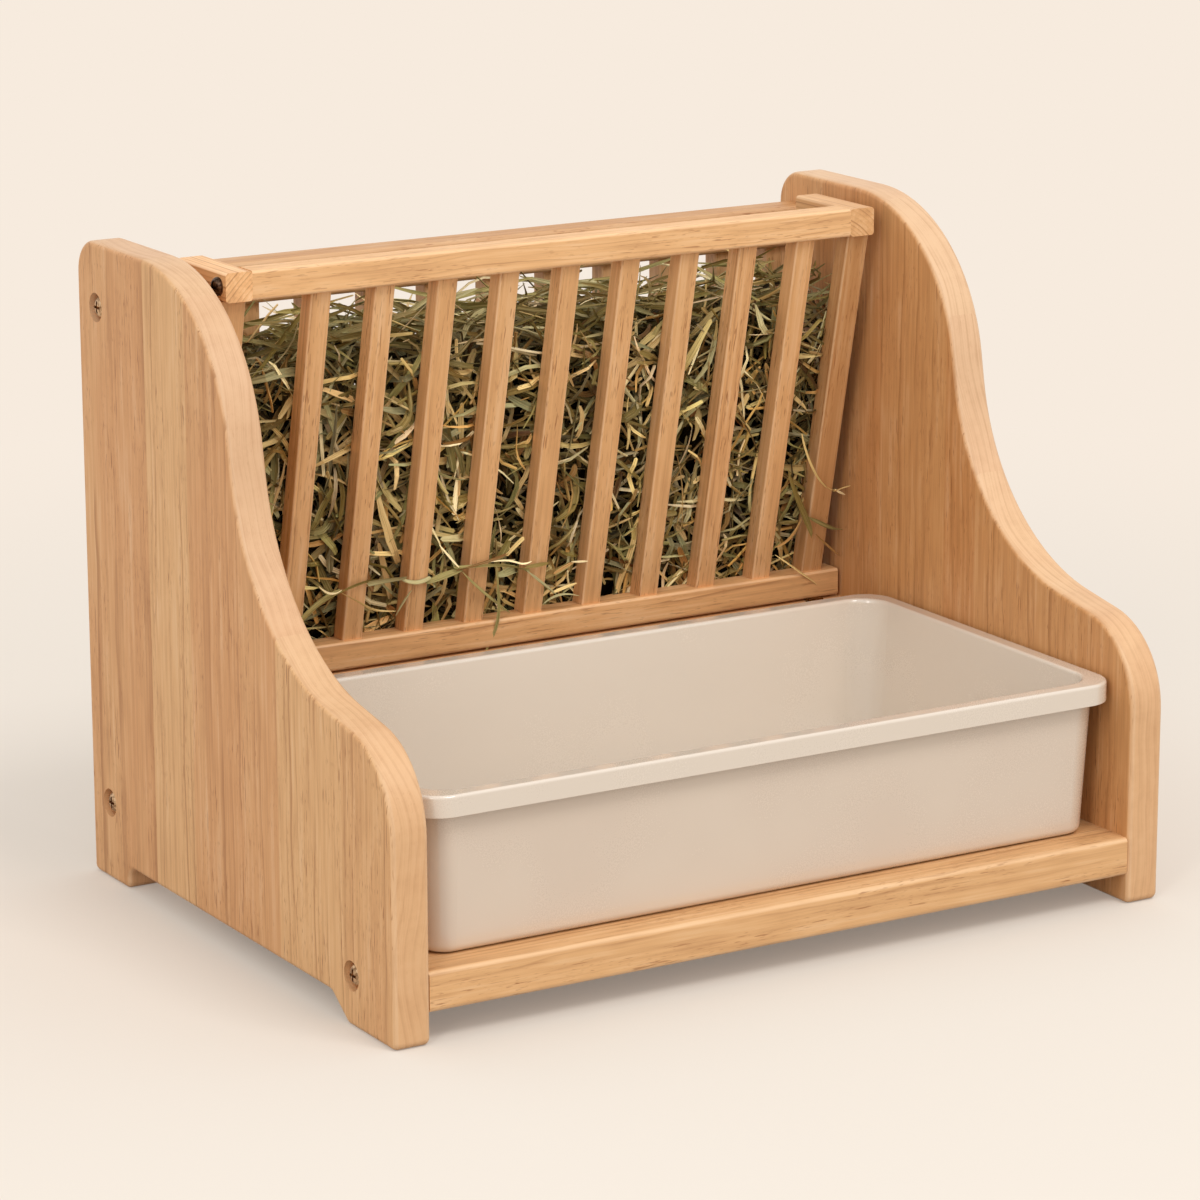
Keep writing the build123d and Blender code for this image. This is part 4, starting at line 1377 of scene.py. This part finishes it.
    def _directions(self, count: int, region: Region) -> np.ndarray:
        """Draw the ways strands run: level on top, upright at the ends, else any way in the face.

        Args:
            count: how many strands.
            region: where they lie.

        Returns:
            Unit vectors, one a row.
        """
        rng = self.rng
        if region is Region.TOP:
            turn = rng.normal(0, 0.6, count)
            lift = rng.normal(0, 0.36, count)
            way = np.stack([np.cos(turn), np.sin(turn), lift], 1)
        elif region is Region.ENDS:
            way = np.stack([rng.normal(0, spread, count) for spread in (0.12, 0.5, 1.0)], 1)
        else:
            turn = rng.uniform(0, np.pi, count)
            way = np.stack([np.cos(turn), rng.normal(0, 0.22, count), np.sin(turn)], 1)
        return way / np.linalg.norm(way, axis=1, keepdims=True)

    def _hold_in(self, path: np.ndarray, width: np.ndarray, region: Region) -> np.ndarray:
        """Press strand paths back inside the hay's space.

        x stays between the panels, z over the floor, and y between the leaning front and the back, both
        of which swell a little where no slat is in the way.

        Args:
            path: points along each strand, in mm.
            width: each strand's width, mm.
            region: where they lie.

        Returns:
            The pressed paths.
        """
        half = width[:, None] * 0.5
        x = np.clip(path[..., 0], self.low[0] + half, self.high[0] - half)
        crest = self.top + (self.crest_reach if region is Region.TOP else self.packed_reach)
        z = np.clip(path[..., 2], self.low[2] + half * 0.6, crest)
        swell = self.gap_swell(x)
        bulge = swell * np.clip((z - self.free_height) / self.free_rise, 0, 1) * self.front_bulge
        front = self.front_at(np.minimum(z, self.high[2])) + half * 0.5 + self.front_gap - bulge
        back = self.back - half * 0.5 - self.back_gap + swell * self.back_bulge
        y = np.clip(path[..., 1], front, back)
        return np.stack([x, y, z], -1)

    def _strands(self, name: str, batch: Batch, finish: bpy.types.Material, body: str) -> None:
        """Mesh strands as folded blades with closed tips, and give them their colours.

        A ring has four corners: path +- width/2 along the blade's side, both moved by the fold, and
        path +- thickness/2 along its face. The width falls from the middle to the tips by a rounded power
        of the distance from the middle.

        Args:
            name: the piece's name.
            batch: the strands.
            finish: their material.
            body: the body that they ride on.
        """
        path, width = batch.path, batch.width
        count, rings = path.shape[:2]
        tangent = np.gradient(path, axis=1)
        tangent /= np.linalg.norm(tangent, axis=2, keepdims=True) + 1e-9
        spread, front = np.array([0.7, 0.4, 0.8]), np.array([0.0, -1.0, 0.25])
        face = self.rng.normal(0, 1, (count, 1, 3)) * spread + front
        twist = self.rng.normal(0, 0.5, (count, 1, 3)) * np.linspace(-0.5, 0.5, rings)[None, :, None]
        side = np.cross(tangent, face + twist)
        side /= np.linalg.norm(side, axis=2, keepdims=True) + 1e-9
        face = np.cross(side, tangent)
        s = np.linspace(-1, 1, rings)[None, :]
        profile = batch.taper[:, None] + (1 - batch.taper[:, None]) * (1 - np.abs(s) ** 2.2)
        half_w = (width[:, None] * 0.5 * profile)[..., None]
        half_t = (batch.thick[:, None] * 0.5 * (0.5 + 0.5 * profile))[..., None]
        folded = path + face * half_w * self.fold
        ring = np.stack([folded - side * half_w, path - face * half_t, folded + side * half_w,
                         path + face * half_t], axis=2)
        reach = np.array([-self.tip, self.tip])[None, :, None] * width[:, None, None]
        tips = path[:, [0, -1]] + tangent[:, [0, -1]] * reach
        points = np.concatenate([ring.reshape(count, -1, 3), tips], axis=1)
        one = self._blade_faces(rings)
        each = points.shape[1]
        faces = (one[None] + (np.arange(count) * each)[:, None, None]).reshape(-1, 4)
        made = mesh_object(name, points.reshape(-1, 3) * MM, faces, finish, False)
        self._outward(made)
        self._tell_colours(made, batch, each)
        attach(made, body)
        LOG.info("%s: %d strands", name, count)

    @staticmethod
    def _blade_faces(rings: int) -> np.ndarray:
        """List the faces of one strand: quads between rings, and a fan of triangles at each tip.

        Args:
            rings: how many rings of four corners it has, ahead of its first tip and its last.

        Returns:
            Four corner numbers a row, where a repeated one makes a triangle.
        """
        r, c = np.meshgrid(np.arange(rings - 1), np.arange(4), indexing="ij")
        n = (c + 1) % 4
        quads = np.stack([r * 4 + c, r * 4 + n, (r + 1) * 4 + n, (r + 1) * 4 + c], -1).reshape(-1, 4)
        k = np.arange(4)
        after = (k + 1) % 4
        first, last = np.full(4, rings * 4), np.full(4, rings * 4 + 1)
        base = (rings - 1) * 4
        start = np.stack([after, k, first, first], -1)
        end = np.stack([base + k, base + after, last, last], -1)
        return np.vstack([quads, start, end])

    def _tell_colours(self, made: bpy.types.Object, batch: Batch, each: int) -> None:
        """Write each strand's colour, and its own width and length coordinates in mm, set apart at random.

        Args:
            made: the meshed strands.
            batch: what they were made from.
            each: how many corners a strand has.
        """
        count, rings = batch.path.shape[:2]
        shade = np.repeat(np.concatenate([batch.colour, np.ones((count, 1))], 1), each, axis=0)
        tint = made.data.attributes.new(self.COLOUR, "FLOAT_COLOR", "POINT")
        tint.data.foreach_set("color", shade.astype(np.float32).ravel())
        length = np.linalg.norm(np.diff(batch.path, axis=1), axis=2).sum(1)
        along = np.concatenate([np.repeat(np.linspace(0, 1, rings), 4), [0.0, 1.0]])
        over = np.concatenate([np.tile([-1.0, 0.0, 1.0, 0.0], rings), [0.0, 0.0]])
        offset = self.rng.uniform(0, 400, count)
        route = np.stack([over[None] * batch.width[:, None] + offset[:, None] * 3,
                          along[None] * length[:, None] + offset[:, None],
                          np.zeros((count, each))], -1)
        line = made.data.attributes.new(self.ROUTE, "FLOAT_VECTOR", "POINT")
        line.data.foreach_set("vector", route.astype(np.float32).ravel())

    def _strays(self) -> Batch:
        """Draw the listed strands: each is a smooth line through its points on the rack's front.

        A point lies at base + x * right + rise * axis + gap * out, where the axis runs up a slat, out is
        square to the slats' front plane, and the base is on that plane, level with the rail's top.

        Returns:
            The strands.
        """
        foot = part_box("rack_bottom_rail")
        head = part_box("rack_top_rail")
        slat = vertices(self.FRONT_SLAT) / MM
        axis = np.array(long_axis(self.FRONT_SLAT))
        out = np.cross(RIGHT, axis)
        out = out if out[1] < 0 else -out
        face = out * (slat @ out).max()
        base_z = foot[1].z / MM
        base = face + axis * ((base_z - face[2]) / axis[2])
        LOG.info("rack front plane from z %.1f to %.1f", base_z, head[0].z / MM)
        t = np.linspace(0, 1, self.stray_segments + 1)
        paths = []
        for stray in STRAYS:
            told = np.array(stray.points)
            knots = np.linspace(0, 1, len(told))
            x, rise, gap = (self._smooth(knots, told[:, c], t)[:, None] for c in range(3))
            paths.append(base + x * np.array(RIGHT) + rise * axis + gap * out)
        width = np.array([s.width for s in STRAYS]) * self.stray_swell
        thick = np.array([s.thickness for s in STRAYS])
        taper = np.array([s.taper for s in STRAYS])
        colour = np.array([s.colour for s in STRAYS]) * self.stray_gleam
        return Batch(np.stack(paths), width, thick, taper, colour)

    @staticmethod
    def _smooth(knots: np.ndarray, values: np.ndarray, t: np.ndarray) -> np.ndarray:
        """A smooth line through values at knots: a polynomial through up to four, fitted to more."""
        degree = min(len(knots) - 1, 3)
        return np.polyval(np.polyfit(knots, values, degree), t)


# ---------------------------------------------------------------------------------------------------
# Studio


@dataclass(frozen=True)
class Lamp:
    """A rectangular soft box that looks at the middle of the object."""

    name: str
    place: Point                   # m
    size: tuple[float, float]      # m
    power: float                   # W
    colour: Colour

    def hang(self, target: Point) -> None:
        """Hang the lamp: its axes are the way to the target and two square to it.

        Args:
            target: the point that it looks at, m.
        """
        lamp = bpy.data.lights.new(self.name, "AREA")
        lamp.shape = "RECTANGLE"
        lamp.size, lamp.size_y = self.size
        lamp.energy = self.power
        lamp.color = self.colour
        made = bpy.data.objects.new(self.name, lamp)
        aim = np.array(target) - np.array(self.place)
        aim /= np.linalg.norm(aim)
        side = np.cross(aim, UP)
        side /= np.linalg.norm(side)
        turn = np.eye(4)
        turn[:3, :3] = np.stack([side, np.cross(side, aim), -aim], 1)
        turn[:3, 3] = self.place
        made.matrix_world = Matrix(turn.tolist())
        bpy.context.scene.collection.objects.link(made)


@dataclass
class Studio:
    """Camera, floor, backdrop light and lamps."""

    eye: Point = (-1.0470, -1.7304, 0.6509)    # m
    yaw: float = 30.916                         # degrees, from +Y towards +X
    pitch: float = 14.268                       # degrees downwards
    roll: float = -0.125                        # degrees
    lens: float = 136.27                        # mm
    sensor: float = 36.0                        # mm
    sight: float = 60.0                         # how far the camera sees, m
    floor_half: float = 14.0                    # m
    sky: Colour = linear(247, 235, 222)
    ambient: float = 0.93
    daylight: Colour = (1.0, 0.99, 0.975)
    middle: Point = (0.0, 0.0, 0.15)            # where the lamps look, m
    lamps: tuple[Lamp, ...] = (
        Lamp("key", (0.5, -1.9, 2.9), (1.1, 1.1), 37.0, (1.0, 0.99, 0.975)),
        Lamp("fill", (-2.2, -1.7, 1.5), (0.5, 2.0), 17.0, (1.0, 0.98, 0.95)),
    )

    def build(self) -> None:
        """Set the camera, the floor, the world and the lamps."""
        self._camera()
        self._floor()
        self._world()
        for lamp in self.lamps:
            lamp.hang(self.middle)
        bpy.context.scene.view_settings.view_transform = "Standard"
        LOG.info("studio set")

    def _camera(self) -> None:
        """Place the camera: its axes follow from yaw from +Y to +X, pitch downwards and roll."""
        yaw, pitch, roll = (math.radians(a) for a in (self.yaw, self.pitch, self.roll))
        ahead = math.cos(pitch)
        forward = np.array([math.sin(yaw) * ahead, math.cos(yaw) * ahead, -math.sin(pitch)])
        level = np.cross(forward, UP)
        level /= np.linalg.norm(level)
        upright = np.cross(level, forward)
        across = level * math.cos(roll) + upright * math.sin(roll)
        up = upright * math.cos(roll) - level * math.sin(roll)
        camera = bpy.data.objects.new("camera", bpy.data.cameras.new("camera"))
        camera.data.lens = self.lens
        camera.data.sensor_width = self.sensor
        camera.data.clip_end = self.sight
        turn = np.eye(4)
        turn[:3, :3] = np.stack([across, up, -forward], 1)
        turn[:3, 3] = self.eye
        camera.matrix_world = Matrix(turn.tolist())
        bpy.context.scene.collection.objects.link(camera)
        bpy.context.scene.camera = camera

    def _floor(self) -> None:
        """A square of floor: a grid of 2 by 2 quads."""
        half = self.floor_half
        line = np.array([-half, 0.0, half])
        x, y = np.meshgrid(line, line, indexing="ij")
        points = np.stack([x, y, np.zeros_like(x)], -1).reshape(-1, 3)
        i, k = np.meshgrid(np.arange(2), np.arange(2), indexing="ij")
        near, far = i * 3 + k, (i + 1) * 3 + k
        faces = np.stack([near, far, far + 1, near + 1], -1).reshape(-1, 4)
        floor = mesh_object("floor", points, faces, FloorFinish().make(), False)

    def _world(self) -> None:
        """Soft white light from all around, and an even cream where the world itself is seen.

        The cream shows to camera rays and through glass; every other ray gets the light.
        """
        world = bpy.data.worlds.new("studio")
        world.use_nodes = True
        bpy.context.scene.world = world
        tree = world.node_tree
        tree.nodes.clear()
        output = tree.nodes.new("ShaderNodeOutputWorld")
        light = tree.nodes.new("ShaderNodeBackground")
        light.inputs["Color"].default_value = (*self.daylight, 1.0)
        light.inputs["Strength"].default_value = self.ambient
        shown = tree.nodes.new("ShaderNodeBackground")
        shown.inputs["Color"].default_value = (*self.sky, 1.0)
        path = tree.nodes.new("ShaderNodeLightPath")
        either = tree.nodes.new("ShaderNodeMath")
        either.operation = "MAXIMUM"
        mixed = tree.nodes.new("ShaderNodeMixShader")
        tree.links.new(path.outputs["Is Camera Ray"], either.inputs[0])
        tree.links.new(path.outputs["Is Transmission Ray"], either.inputs[1])
        tree.links.new(either.outputs[0], mixed.inputs[0])
        tree.links.new(light.outputs[0], mixed.inputs[1])
        tree.links.new(shown.outputs[0], mixed.inputs[2])
        tree.links.new(mixed.outputs[0], output.inputs["Surface"])


def main() -> None:
    """Build the sub-assemblies in order, then the studio."""
    logging.basicConfig(level=logging.INFO, format="%(name)s: %(message)s")
    for part in (Carcass(), Rack(), Tray(), Hardware(), Hay(), Studio()):
        part.build()
        LOG.info("%s done", type(part).__name__)


if __name__ == "__main__":
    main()
